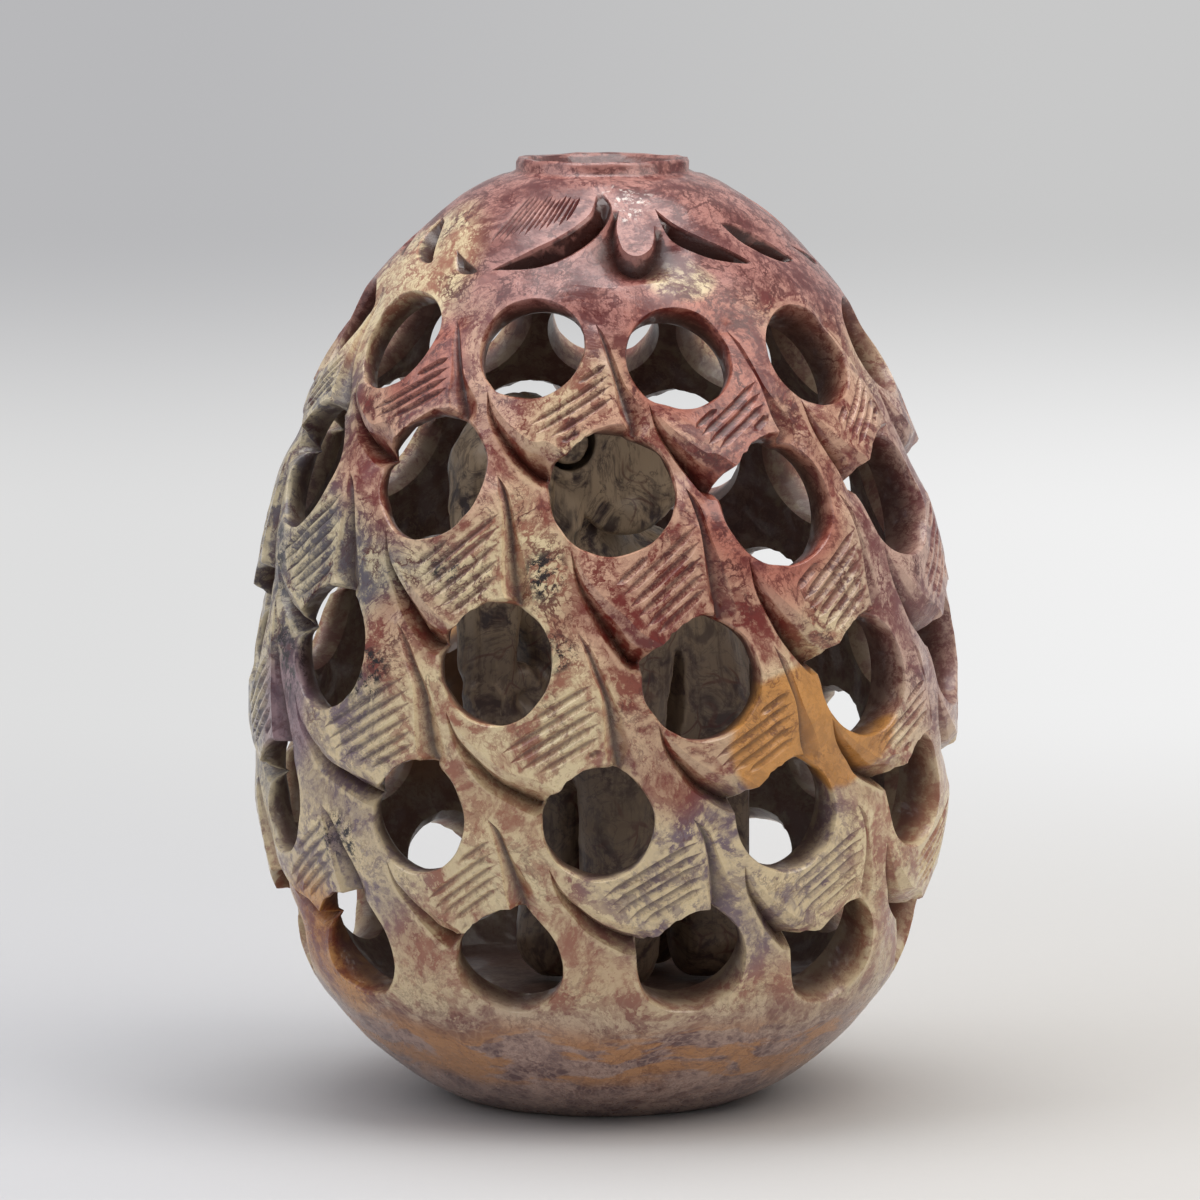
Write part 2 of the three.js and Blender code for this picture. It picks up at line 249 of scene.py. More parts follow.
# A hole's rim as shares of its radius: the leaf above it cuts across it up to its tip, and its pocket and
# valley cut outwards
RIM_SHAPE = (
    (30, 1.0), (55, 1.02), (68, 1.04), (76, 1.08), (84, 1.06), (90, 1.04),
    (100, 0.99), (108, 0.95), (120, 0.91), (132, 0.875), (140, 0.88), (145, 0.93),
    (150, 0.99), (156, 1.03), (165, 1.08), (171, 1.05), (177, 1.0), (200, 1.0))
# How far a rim wavers and how deep the hatching notches it, as shares of the radius, and between which degrees
RIM_WOBBLE = 0.035
NOTCH_DEPTH = 0.035
NOTCHED = (84, 138)


def rim_share(carved):
    """A rim's reach all round, as shares of the hole's radius."""
    if not carved:
        return np.ones(RIM_POINTS)
    angles, shares = zip(*RIM_SHAPE)
    return np.interp(RIM_DEGREES, angles, shares)


def add_rim(sheet, hole):
    carved = hole.row > 0
    wobble = [chance(math.cos(math.radians(a)), math.sin(math.radians(a)), hole.azimuth * 3 + hole.row * 7)
              for a in RIM_DEGREES]
    hole.reach = hole.radius * rim_share(carved) * (1 + RIM_WOBBLE * np.array(wobble))
    notch = [chance(a * 0.13, hole.azimuth * 9, hole.row * 5 + 2) for a in RIM_DEGREES]
    notched = (RIM_DEGREES > NOTCHED[0]) & (RIM_DEGREES < NOTCHED[1])
    hole.reach += hole.radius * NOTCH_DEPTH * np.array(notch) * carved * notched
    angles = np.radians(RIM_DEGREES)
    arc = hole.arc + hole.reach * np.sin(angles)
    azimuth = hole.azimuth + hole.reach * np.cos(angles) / sheet.profile.radius_at(arc)
    hole.rim = sheet.points(azimuth, arc, np.nan)
    sheet.join(hole.rim, closed=True, rim=True)


def rim_reach(hole, x, y):
    """How far the rim lies from the hole's middle, in the direction of x to the right and y up."""
    angle = np.degrees(np.arctan2(y, x)) % 360
    return np.interp(angle, [*RIM_DEGREES, 360], [*hole.reach, hole.reach[0]])


def rim_vertex(hole, degrees):
    return hole.rim[int(round((degrees % 360) * RIM_POINTS / 360)) % RIM_POINTS]


class Cell:
    """The leaf between a hole and the hole to its lower right."""

    def __init__(self, sheet, upper, lower):
        self.sheet = sheet
        self.upper = upper
        self.lower = lower
        self.turn = turn_between(lower.azimuth, upper.azimuth) / CELL_RUN
        self.run = self.turn * float(OUTER.radius_at(lower.arc))
        self.upper_run = self.turn * float(OUTER.radius_at(upper.arc))
        self.drop = (upper.arc - lower.arc) / CELL_DROP

    def on_egg(self, x, y):
        arc = self.upper.arc + np.asarray(y, float) * self.drop
        return self.upper.azimuth + np.asarray(x, float) * self.turn, arc

    def beside(self, degrees, share):
        """A point beside the lower hole, at a share of its radius."""
        angle = math.radians(degrees)
        return (CELL_RUN + share * self.lower.radius * math.cos(angle) / self.run,
                -CELL_DROP + share * self.lower.radius * math.sin(angle) / self.drop)

    def in_cell(self, index):
        """Where a point of the sheet lies in the cell."""
        turn = turn_between(self.sheet.azimuth[index], self.upper.azimuth)
        return turn / self.turn, (self.sheet.arc[index] - self.upper.arc) / self.drop

    def line(self, points, end, end_depth, end_painted_shade, crisp, start):
        """Draws a carved line through (x, y, depth, painted shade) points to a vertex of the lower rim. It
        leaves the vertex start, where there is one already."""
        path = curve_through([*points, (*self.in_cell(end), end_depth, end_painted_shade)], LINE_STEP)
        inner = path[:-1] if start is None else path[1:-1]
        azimuth, arc = self.on_egg(inner[:, 0], inner[:, 1])
        indices = self.sheet.points(azimuth, arc, inner[:, 2], inner[:, 3]) + [end]
        if start is not None:
            indices.insert(0, start)
        self.sheet.depth[end] = end_depth
        self.sheet.grime[end] = end_painted_shade
        self.sheet.join(indices, crisp=crisp)
        return path, indices[0]


LINE_STEP = 0.42
# Rows with room for the ribs to start beside their holes
LONG_RIB_ROWS = (0, 2)
LEAF_ROOT = (-3.8, -4.4, -0.5, 0.1)
LONG_RIB_ROOT = (6.45, 3.1, -0.5, 0.1)
SHORT_RIB_ROOT = (7.2, 0.4, -0.5, 0.1)
# The lines of a leaf: to its left the crest, lip, pocket and far bank, and to its right the rib, valley and far
# bank. Each has
# - the extra (x, y, depth, painted shade) points of a long rib
# - its further points
# - degrees, share of the radius, depth and painted shade of a point beside the lower hole
# - degrees, depth and painted shade of its end on the lower hole's rim, and whether the line is crisp
# The painted shade darkens the stone in the deep pockets and valleys
LEFT_LINES = (
    ((), ((-2.3, -6.5, -0.15, 0), (-0.6, -8.2, -0.02, 0), (1.3, -9.6, 0, 0)),
     (143, 1.27, 0, 0), (140, 0, 0, True)),
    ((), ((-2.65, -6.75, -0.35, 0.1), (-1.1, -8.65, -0.45, 0.1), (0.55, -10.2, -0.55, 0.15)),
     (153, 1.3, -0.65, 0.15), (150, -0.7, 0.15, True)),
    ((), ((-3.0, -7.0, -1.0, 0.5), (-1.55, -9.15, -1.6, 0.7), (-0.1, -10.95, -2.1, 0.8)),
     (165.5, 1.24, -2.5, 0.9), (165, -2.6, 0.9, True)),
    ((), ((-3.3, -7.15, -0.6, 0.1), (-2.05, -9.5, -0.7, 0.15), (-0.65, -11.5, -0.8, 0.2)),
     (174, 1.2, -0.95, 0.2), (175, -1.05, 0.2, True)),
)
RIGHT_LINES = (
    (((6.95, 1.3, -0.3, 0),), ((7.6, -0.9, -0.15, 0), (8.25, -3.2, -0.05, 0)),
     (85, 1.3, 0, 0), (80, 0, 0, True)),
    (((7.25, 1.35, -0.8, 0.6),), ((8.0, -0.9, -0.95, 0.8), (8.7, -3.3, -1.2, 0.9)),
     (77, 1.3, -1.5, 0.9), (70, -1.8, 0.9, False)),
    (((7.6, 1.4, -0.4, 0),), ((8.5, -1.0, -0.45, 0), (9.4, -3.5, -0.55, 0)),
     (63, 1.35, -0.7, 0), (55, -0.9, 0.1, True)),
)


def carve_cell(cell):
    """The leaf's lines and its hatching."""
    long_rib = cell.upper.row in LONG_RIB_ROWS
    paths = []
    rib_root = LONG_RIB_ROOT if long_rib else SHORT_RIB_ROOT
    for root, lines in ((LEAF_ROOT, LEFT_LINES), (rib_root, RIGHT_LINES)):
        start = None
        for high, points, (degrees, share, *level), (end_degrees, *end) in lines:
            points = [root, *high * long_rib, *points, (*cell.beside(degrees, share), *level)]
            path, start = cell.line(points, rim_vertex(cell.lower, end_degrees), *end, start)
            paths.append(path)
    hatch(cell, paths[0], paths[len(LEFT_LINES)])


HATCH_ANGLE = 37.0
HATCH_FIRST = 5.9
# How far a groove's bottom lies towards its steep upper side
HATCH_LEAN = 0.12
HATCH_STRAY = 0.14
# How near a groove comes to the crest, the rib, the hole above and the hole below
CREST_GAP = 0.6
TOP_CREST_GAP = 1.5
RIB_GAP = 0.25
UPPER_GAP = 0.5
LOWER_GAP = 0.72
# How far its end at the rib strays, and the fewest steps that it is drawn in
RIB_STRAY = 0.12
HATCH_STEPS = 4
# A groove is tried out in short steps, and cut where more than this many of them are clear
HATCH_TRIAL = 0.1
HATCH_SHORTEST = 12
# Each groove starts nearer to the crest than the one above it, by this much
CREST_STEP = 0.4
# How quickly a groove widens and deepens from its ends, and how much the depths differ
WIDENING = 6
DEEPENING = 5
DEPTH_STRAY = 0.25


def taper(share, steepness):
    """From 0 at both ends of a line to 1."""
    return np.clip(np.minimum(share, 1 - share) * steepness, 0, 1)


def hatch(cell, crest, rib):
    """V grooves across the leaf, from its crest to its rib."""
    along = np.array([math.cos(math.radians(HATCH_ANGLE)), math.sin(math.radians(HATCH_ANGLE))])
    across = np.array([along[1], -along[0]])
    centre = np.array([CELL_RUN, -CELL_DROP])
    sizes = bpy.context.scene.egg_carving
    pitch, full_width, full_depth = (sizes.hatch_pitch / MM, sizes.hatch_width / MM, sizes.hatch_depth / MM)
    for k in range(sizes.hatch_lines):
        stray = chance(k * 1.7, cell.upper.azimuth * 5, cell.upper.row * 3.1)
        level = HATCH_FIRST + k * pitch
        level += HATCH_STRAY * stray
        left, right = (np.interp(level, edge[:, :2] @ across, edge[:, :2] @ along) for edge in (crest, rib))
        left += max(CREST_GAP, TOP_CREST_GAP - CREST_STEP * k)
        t = np.arange(left, right - RIB_GAP + RIB_STRAY * stray, HATCH_TRIAL)
        line = level * across + t[:, None] * along
        from_upper = line * (cell.upper_run, cell.drop)
        from_lower = (line - centre) * (cell.run, cell.drop)
        clear = np.hypot(*from_upper.T) > cell.upper.radius + UPPER_GAP
        clear &= np.hypot(*from_lower.T) > rim_reach(cell.lower, *from_lower.T) + LOWER_GAP
        runs = np.flatnonzero(np.diff([0, *clear.astype(int), 0])).reshape(-1, 2)
        if len(runs) == 0:
            continue
        first, last = runs[np.argmax(runs[:, 1] - runs[:, 0])]
        if last - first <= HATCH_SHORTEST:
            continue
        low, high = t[first], t[last - 1]
        count = max(HATCH_STEPS, int(round((high - low) / LINE_STEP)))
        stations = np.linspace(low, high, count + 1)
        share = (stations - low) / (high - low)
        width = full_width / 2 * taper(share, WIDENING)
        depth = full_depth * (1 + DEPTH_STRAY * stray) * taper(share, DEEPENING)
        middle = level * across + stations[:, None] * along
        bed = middle - np.outer(width / full_width * 2 * HATCH_LEAN, across)
        groove(cell.sheet, cell.on_egg(*bed.T), HATCH_SKIN, depth, HATCH_PAINTED_SHADE, False,
               [cell.on_egg(*(middle + side * width[:, None] * across).T) for side in (-1, 1)])


# How far below the surface a groove's sides lie, and the bed of one without depth, and the painted shade in
# their beds
GROOVE_SKIN = 0.04
HATCH_SKIN = 0.05
HATCH_PAINTED_SHADE = 0.16
SCRATCH_PAINTED_SHADE = 0.3


def groove(sheet, bed, skin, depth, grime, crisp, sides):
    """A groove's bed and its two sides, which meet it at both ends."""
    bottom = sheet.points(*bed, -skin - depth, grime)
    sheet.join(bottom, crisp=crisp)
    for azimuth, arc in sides:
        indices = sheet.points(azimuth[1:-1], arc[1:-1], -GROOVE_SKIN)
        sheet.join([bottom[0]] + indices + [bottom[-1]])


# Crown: units of three lens grooves and a bud, in degrees from the front and millimetres of arc
CROWN_UNITS = 3
# Millimetres of a degree at the height of the crown's leaves
CROWN_DEGREE = 0.28
BROW_RISE = 6.3
CROWN_HATCH_WIDTH = 0.3
CROWN_HATCH_DEPTH = 0.22

# Outline and bed of each groove: the left leaf's, with the hook at its upper end, and the two right leaves'
CROWN_GROOVES = (
    (((-31.5, 77.3, -0.1), (-22, 79.4, 0), (-13, 81.4, 0), (-5, 83.8, 0), (-3.0, 86.2, -0.05),
      (-0.5, 86.6, -0.1), (3.6, 84.6, -0.15), (0.4, 82.0, -0.1), (-7, 79.5, -0.15), (-17, 77.8, -0.15)),
     ((-28, 77.6, -0.9), (-19, 78.8, -2.3), (-9, 80.7, -2.6), (-2, 82.9, -2.1), (0.8, 84.6, -1.3))),
    (((20.5, 84.4, -0.1), (25, 82.5, 0), (32, 80.9, 0), (39, 79.4, 0), (45.0, 77.9, -0.1), (37, 78.1, -0.15),
      (28, 79.1, -0.15), (21, 80.9, -0.15)),
     ((22.2, 82.4, -1.3), (26, 80.8, -2.3), (34, 79.5, -2.1), (42, 78.3, -0.9))),
    (((44, 82.4, -0.1), (51, 82.0, 0), (59, 80.2, 0), (64, 78.4, 0), (65.5, 77.7, -0.1), (59, 77.7, -0.15),
      (52, 78.7, -0.15), (46, 80.4, -0.15)),
     ((47, 81.4, -0.9), (53, 80.1, -2.5), (59, 78.9, -2.4), (63.5, 78.0, -1.0))),
    (((-47.5, 79.2, -0.05), (-41, 78.2, 0), (-35, 77.1, -0.1), (-41.5, 76.9, -0.1)),
     ((-43, 77.9, -0.5), (-38.5, 77.3, -0.6))),
)
BUD_FOOT = ((6.6, 84.6, -0.05), (4.6, 82.0, 0), (6.0, 79.6, 0), (10.0, 78.9, 0), (14.6, 79.9, 0),
            (17.6, 82.4, -0.05))
BUD_CUT = ((4.9, 83.9, -0.5), (3.0, 81.3, -0.9), (4.6, 78.7, -1.3), (10.2, 77.8, -1.5), (15.6, 79.0, -1.3),
           (18.3, 81.5, -0.7))
# Painted shade on the walls and in the beds of the crown's grooves
WALL_PAINTED_SHADE = 1.3
BED_PAINTED_SHADE = 1.9


def crown_line(sheet, unit, points, grime=0.0, closed=False):
    """Draws a line of a crown unit through (degrees, arc, depth) points."""
    turn = unit * 360 / CROWN_UNITS
    scaled = [(p[0] * CROWN_DEGREE, p[1], p[2]) for p in points]
    if closed:
        scaled.append(scaled[0])
    path = curve_through(scaled, LINE_STEP)
    if closed:
        path = path[:-1]
    azimuth = np.radians(path[:, 0] / CROWN_DEGREE + turn)
    indices = sheet.points(azimuth, path[:, 1], path[:, 2], grime)
    sheet.join(indices, closed=closed)


# How far the ring where a groove's wall takes painted shade lies in from its outline towards its bed, and how
# deep as a share of the bed
WALL_SHARE = 0.22
WALL_DEPTH = 0.35


def painted_shade_wall(outline, bed):
    """A groove's outline drawn in a little towards its bed, where the painted shade on its wall begins."""
    inner = []
    for x, y, _ in outline:
        near = min(bed, key=lambda p: math.hypot((p[0] - x) * CROWN_DEGREE, p[1] - y))
        inner.append((x + WALL_SHARE * (near[0] - x), y + WALL_SHARE * (near[1] - y), WALL_DEPTH * near[2]))
    return inner


# Fine lines combed down the leaf to the left of the first groove: from and to these degrees, and how far apart
COMBED = (-36.0, -12.0, 2.1)
# Arc of their feet at the left, how far the feet climb to the right, arc of their tops and how far both stray
COMB_FOOT = 79.9
COMB_CLIMB = 3.0
COMB_TOP = 85.9
COMB_STRAY = 0.3
# Degrees by which they lean to the right
COMB_LEAN = 3.0
SCRATCH_POINTS = 9


def carve_crown(sheet, unit):
    for outline, bed in CROWN_GROOVES:
        crown_line(sheet, unit, outline, closed=True)
        crown_line(sheet, unit, painted_shade_wall(outline, bed), grime=WALL_PAINTED_SHADE, closed=True)
        crown_line(sheet, unit, bed, grime=BED_PAINTED_SHADE)
    crown_line(sheet, unit, BUD_FOOT)
    crown_line(sheet, unit, BUD_CUT, grime=BED_PAINTED_SHADE)
    first, last, _ = COMBED
    for k, degrees in enumerate(np.arange(*COMBED)):
        foot = COMB_FOOT + (degrees - first) / (last - first) * COMB_CLIMB + COMB_STRAY * math.sin(k * 2.3)
        scratch(sheet, unit, degrees, foot, COMB_TOP + COMB_STRAY * math.sin(k * 1.7))


def scratch(sheet, unit, foot_degrees, foot_arc, top_arc):
    share = np.linspace(0, 1, SCRATCH_POINTS)
    azimuth = np.radians(foot_degrees + COMB_LEAN * share + unit * 360 / CROWN_UNITS)
    arc = foot_arc + (top_arc - foot_arc) * share
    swell = taper(share, WIDENING)
    side = CROWN_HATCH_WIDTH / 2 * swell / OUTER.radius_at(arc)
    groove(sheet, (azimuth, arc), GROOVE_SKIN, CROWN_HATCH_DEPTH * swell, SCRATCH_PAINTED_SHADE, True,
           [(azimuth - side, arc), (azimuth + side, arc)])


BROW_POINTS = 300
# How much more the brow leans than the row below it, how far it rises over each hole, and its depth
BROW_LEAN = 1.1
BROW_WAVE = 0.3
BROW_DEPTH = -0.02


def brow_line(sheet):
    """The fine edge that runs over the top row of holes."""
    azimuth = np.linspace(0, 2 * math.pi, BROW_POINTS, endpoint=False)
    height, _, phase, lean = ROWS[0]
    wave = np.cos((azimuth - phase * 2 * math.pi / COLUMNS) * COLUMNS)
    drop = float(egg_radius(height)) * np.sin(azimuth) * math.tan(math.radians(lean))
    arc = OUTER.arc_of(height) - drop * BROW_LEAN + BROW_RISE + BROW_WAVE * wave
    indices = sheet.points(azimuth, arc, BROW_DEPTH)
    sheet.join(indices, closed=True)


# Rows of free points: how far apart as a share of the spacing, how far each strays, and how near to a curve
FILL_ROWS = 0.87
FILL_STRAY = 0.12
FILL_GAP = 0.62
FILL_FEWEST = 6
FILL_SEED = 7
# How far outside a rim the free points begin
RIM_GAP = 0.2


def tree_of(places):
    tree = KDTree(len(places))
    for i, place in enumerate(places):
        tree.insert(place, i)
    tree.balance()
    return tree


def fill(sheet, spacing_at, arcs, holes):
    """Adds free points between the curves, about one spacing apart."""
    profile = sheet.profile
    tree = tree_of(profile.place(np.array(sheet.azimuth), np.array(sheet.arc)))
    rng = np.random.default_rng(FILL_SEED)
    arc, end = arcs
    shift = 0.0
    azimuths = []
    places = []
    while arc < end:
        spacing = spacing_at(arc)
        count = max(FILL_FEWEST, int(round(2 * math.pi * float(profile.radius_at(arc)) / spacing)))
        azimuth = (np.arange(count) + shift) * 2 * math.pi / count
        azimuth = azimuth + rng.uniform(-FILL_STRAY, FILL_STRAY, count) * 2 * math.pi / count
        place = arc + rng.uniform(-FILL_STRAY, FILL_STRAY, count) * spacing
        ok = outside_holes(profile, holes, azimuth, place)
        for a, s in zip(azimuth[ok], place[ok]):
            if tree.find(profile.place(a, s))[2] > FILL_GAP * spacing:
                azimuths.append(a)
                places.append(s)
        arc += spacing * FILL_ROWS
        shift = 0.5 - shift
    return sheet.points(np.array(azimuths), np.array(places), np.nan)


def outside_holes(profile, holes, azimuth, arc):
    """Which points lie outside all the rims."""
    ok = np.ones(len(azimuth), bool)
    radius = profile.radius_at(arc)
    for hole in holes:
        x = turn_between(azimuth, hole.azimuth) * radius
        y = arc - hole.arc
        ok &= np.hypot(x, y) > rim_reach(hole, x, y) + RIM_GAP
    return ok


def triangulate(sheet, holes):
    """The skin's faces between the rims, its corners, and where each drawn point went."""
    flat = sheet.profile.flat(np.array(sheet.azimuth), np.array(sheet.arc))
    verts, edges, faces, originals, sources, _ = delaunay_2d_cdt(
        [Vector(p) for p in flat.tolist()], sheet.edges, [], 0, 1e-9, True)
    flat = np.array([tuple(v) for v in verts])
    swell = -np.log(np.maximum(np.hypot(flat[:, 0], flat[:, 1]), 1e-12))
    arc = np.interp(swell, sheet.profile.swell, sheet.profile.arc)
    azimuth = np.arctan2(flat[:, 0], flat[:, 1])
    depth, grime = np.full((2, len(flat)), np.nan)
    where = np.full(len(sheet.azimuth), -1)
    for i, drawn in enumerate(originals):
        for source in drawn:
            where[source] = i
            if not np.isnan(sheet.depth[source]):
                depth[i] = sheet.depth[source]
                grime[i] = np.nanmax([grime[i], sheet.grime[source]])
    creases = []
    walls = set()
    for pair, drawn in zip(edges, sources):
        drawn = [k for k in drawn if k < len(sheet.edges)]
        if any(sheet.crisp[k] for k in drawn):
            creases.append(pair)
        if any(sheet.rims[k] for k in drawn):
            walls.add(tuple(sorted(pair)))
    faces = np.array(faces)[:, ::-1]
    faces = faces[~in_holes(faces, flat, sheet.profile, holes, walls)]
    return faces, azimuth, arc, depth, grime, where, creases


def edges_of(face):
    a, b, c = face
    return [tuple(sorted(pair)) for pair in ((a, b), (b, c), (c, a))]


def in_holes(faces, flat, profile, holes, walls):
    """Which faces lie past the sheet's ends or in a hole, reached from its middle without crossing a rim."""
    corner_lists = faces.tolist()
    beside = {}
    for i, face in enumerate(corner_lists):
        for edge in edges_of(face):
            beside.setdefault(edge, []).append(i)
    middle = flat[faces].mean(axis=1)
    tree = tree_of(np.column_stack([middle, np.zeros(len(middle))]))
    reach = np.hypot(*middle.T)
    out = (reach < math.exp(-profile.swell[-1])) | (reach > 1)
    for hole in holes:
        stack = [tree.find((*profile.flat(hole.azimuth, hole.arc), 0))[1]]
        out[stack] = True
        while stack:
            for edge in edges_of(corner_lists[stack.pop()]):
                if edge in walls:
                    continue
                for other in beside[edge]:
                    if not out[other]:
                        out[other] = True
                        stack.append(other)
    return out


def relax(faces, places, values, load=0.0, rounds=500):
    """Fits free values between the given ones, as a skin that is stretched and swells by a load."""
    pairs = np.vstack([faces[:, [0, 1]], faces[:, [1, 2]], faces[:, [2, 0]]])
    pairs = np.unique(np.sort(pairs, axis=1), axis=0)
    a, b = pairs.T
    length = np.linalg.norm(places[a] - places[b], axis=1) + 1e-6
    weight = 1 / length
    count = len(values)
    free = np.isnan(values)
    area = np.bincount(a, length ** 2, count) + np.bincount(b, length ** 2, count)
    degree = np.bincount(a, weight, count) + np.bincount(b, weight, count)
    fixed = np.where(free, 0, values)

    def spread(field):
        return np.bincount(a, weight * field[b], count) + np.bincount(b, weight * field[a], count)

    def apply(field):
        return np.where(free, degree * field - spread(field), 0)

    right = np.where(free, spread(fixed) + load * area / 6, 0)
    field = np.zeros(count)
    residual = right - apply(field)
    scaled = residual / np.maximum(degree, 1e-9)
    direction = scaled.copy()
    energy = residual @ scaled
    for _ in range(rounds):
        step = apply(direction)
        length = energy / max(direction @ step, 1e-30)
        field += length * direction
        residual -= length * step
        scaled = residual / np.maximum(degree, 1e-9)
        fresh = residual @ scaled
        if fresh < 1e-9:
            break
        direction = scaled + fresh / energy * direction
        energy = fresh
    return np.where(free, field, values)


WALL = 3.3
# The hollow was worked nearer to the left side than to the right
HOLLOW_SHIFT = 0.7
HOLLOW_TOP = WIDEST_HEIGHT + CROWN_RISE - WALL - 0.25
HOLLOW = Profile(FLOOR_HEIGHT, HOLLOW_TOP, WALL)
# Rings of a hole's wall: shares of the way in, and how much of the leaf's overhang each keeps
WALL_RINGS = ((0.05, 0.85), (0.34, 0.25), (0.66, 0.0))
INNER_RIM_SHARE = 1.05
BORE_SHARE = 0.97
# A drill's longest way through the wall, and in how many steps it is looked for
BORE_REACH = 14
BORE_STEPS = 281
OUTER_SPACING = 0.6
BOWL_SPACING = 0.95
HOLLOW_SPACING = 1.15
SEAT_POINTS = 120
FOOT_POINTS = 144
FOOT_EDGE_ARC = 0.35
HOLLOW_TOP_POINTS = 24
HOLLOW_FLOOR_POINTS = 96
# Between which arcs the free points of the two faces lie, and how far below the lowest holes the bowl begins
OUTER_FREE = (FOOT_EDGE_ARC + 0.5, OUTER.arc[-1] - 0.4)
HOLLOW_FREE = (0.9, HOLLOW.arc[-1] - 0.6)
BOWL_GAP = 2.0
# The stone between the carved lines swells a little, and the egg's whole skin lies this far inside the outline
SWELL = 0.10
SKIN_INSET = 0.12
# Sizes of a coarse and a fine tool mark, and height, size and seed of the bumps in the hollow and in the bores
TOOL_SIZES = (5.0, 1.6)
HOLLOW_BUMPS = ((0.35, 3.0, 3), (0.15, 1.1, 4))
BORE_BUMPS = (0.03, 1.5, 5)
# Painted shade in the hollow, and in a bore at its outer end and how much more at its inner end
HOLLOW_PAINTED_SHADE = 0.35
BORE_PAINTED_SHADE = (0.1, 0.3)
# How much of the hollow's painted shade a bore's outer end takes
BORE_INSIDE = 0.15
# How far apart in the noise the bumps of two seeds lie
SEED_STEP = (13.7, 5.1, 9.3)


def uneven(places, amount, scale, seed):
    """Low bumps that a hand tool leaves, between -1 and 1 times amount."""
    offset = Vector([seed * step for step in SEED_STEP])
    return amount * np.array([noise.noise(Vector(p) / scale + offset) for p in places])


class Skin:
    """Corners, faces and marks of a piece, added block by block."""

    def __init__(self):
        self.corners = []
        self.marks = {"grime": [], "inside": []}
        self.faces = []
        self.creases = []
        self.total = 0

    def add(self, corners, grime, inside):
        """Adds corners with their marks, and gives their numbers."""
        first = self.total
        self.total += len(corners)
        self.corners.append(corners)
        for key, values in (("grime", grime), ("inside", inside)):
            self.marks[key].append(np.broadcast_to(np.asarray(values, float), len(corners)))
        return np.arange(first, self.total)

    def add_faces(self, faces, flip=False):
        self.faces.append(faces[:, ::-1] if flip else faces)

    def band(self, ring, other, flip=False):
        """Joins two rings of as many corners."""
        self.add_faces(np.stack([ring, np.roll(ring, -1), np.roll(other, -1), other], -1), flip)


class Opening:
    """A hole where it breaks into the hollow."""

    def __init__(self, sheet, place):
        azimuth = np.arctan2(place[:, 0], -place[:, 1])
        arc = np.interp(place[:, 2], HOLLOW.height, HOLLOW.arc)
        self.rim = sheet.points(azimuth, arc, 0.0)
        sheet.join(self.rim, closed=True, rim=True)
        centre = place.mean(axis=0)
        self.azimuth = math.atan2(centre[0], -centre[1])
        self.arc = float(np.interp(centre[2], HOLLOW.height, HOLLOW.arc))
        x = turn_between(azimuth, self.azimuth) * HOLLOW.radius_at(arc)
        y = arc - self.arc
        angle = np.degrees(np.arctan2(y, x)) % 360
        order = np.argsort(angle)
        self.reach = np.interp(RIM_DEGREES, angle[order], np.hypot(x, y)[order], period=360)


def bore_place(hole, azimuth, arc, share):
    """Where a line through a rim point, along the hole's axis, meets the hollow's wall."""
    middle = np.array([hole.azimuth]), np.array([hole.arc])
    hole.centre = OUTER.place(*middle)[0]
    hole.axis = hole.centre - OUTER.place(*middle, -1.0)[0]
    radial = OUTER.place(azimuth, arc) - hole.centre
    radial -= np.outer(radial @ hole.axis, hole.axis)
    start = hole.centre + radial * share[:, None]
    steps = np.linspace(0, BORE_REACH, BORE_STEPS)
    line = start[:, None, :] - steps[None, :, None] * hole.axis
    excess = np.hypot(line[..., 0], line[..., 1]) - egg_radius(line[..., 2], WALL)
    first = np.argmax(excess < 0, axis=1)
    rows = np.arange(len(start))
    before = excess[rows, first - 1]
    after = excess[rows, first]
    reach = steps[first - 1] + (steps[1] - steps[0]) * before / (before - after)
    return start - reach[:, None] * hole.axis


def end_ring(sheet, count, arc):
    """A ring of points where a sheet ends."""
    ring = sheet.points(round_turn(count), np.full(count, arc), 0)
    sheet.join(ring, closed=True, crisp=False)
    return ring


def outer_face(holes):
    sheet = Sheet(OUTER)
    for hole in holes:
        add_rim(sheet, hole)
    for row in range(len(ROWS) - 1):
        shift = 0 if ROWS[row][2] == 0 else 1
        for column in range(COLUMNS):
            lower = holes[(row + 1) * COLUMNS + (column + shift) % COLUMNS]
            carve_cell(Cell(sheet, holes[row * COLUMNS + column], lower))
    for unit in range(CROWN_UNITS):
        carve_crown(sheet, unit)
    brow_line(sheet)
    foot = end_ring(sheet, FOOT_POINTS, FOOT_EDGE_ARC)
    seat = end_ring(sheet, SEAT_POINTS, OUTER.arc[-1])
    bowl_top = min(hole.arc - hole.radius for hole in holes) - BOWL_GAP
    free = fill(sheet, lambda arc: OUTER_SPACING if arc > bowl_top else BOWL_SPACING, OUTER_FREE, holes)
    for index in free:
        if sheet.arc[index] < bowl_top:
            sheet.depth[index] = 0.0
    return sheet, foot, seat


def hollow_face(outer, holes):
    sheet = Sheet(HOLLOW)
    azimuth = np.array(outer.azimuth)
    arc = np.array(outer.arc)
    openings = [Opening(sheet, bore_place(hole, azimuth[hole.rim], arc[hole.rim],
                                          INNER_RIM_SHARE / rim_share(hole.row > 0))) for hole in holes]
    top = end_ring(sheet, HOLLOW_TOP_POINTS, HOLLOW.arc[-1])
    bottom = end_ring(sheet, HOLLOW_FLOOR_POINTS, 0.0)
    fill(sheet, lambda _: HOLLOW_SPACING, HOLLOW_FREE, openings)
    return sheet, openings, top, bottom


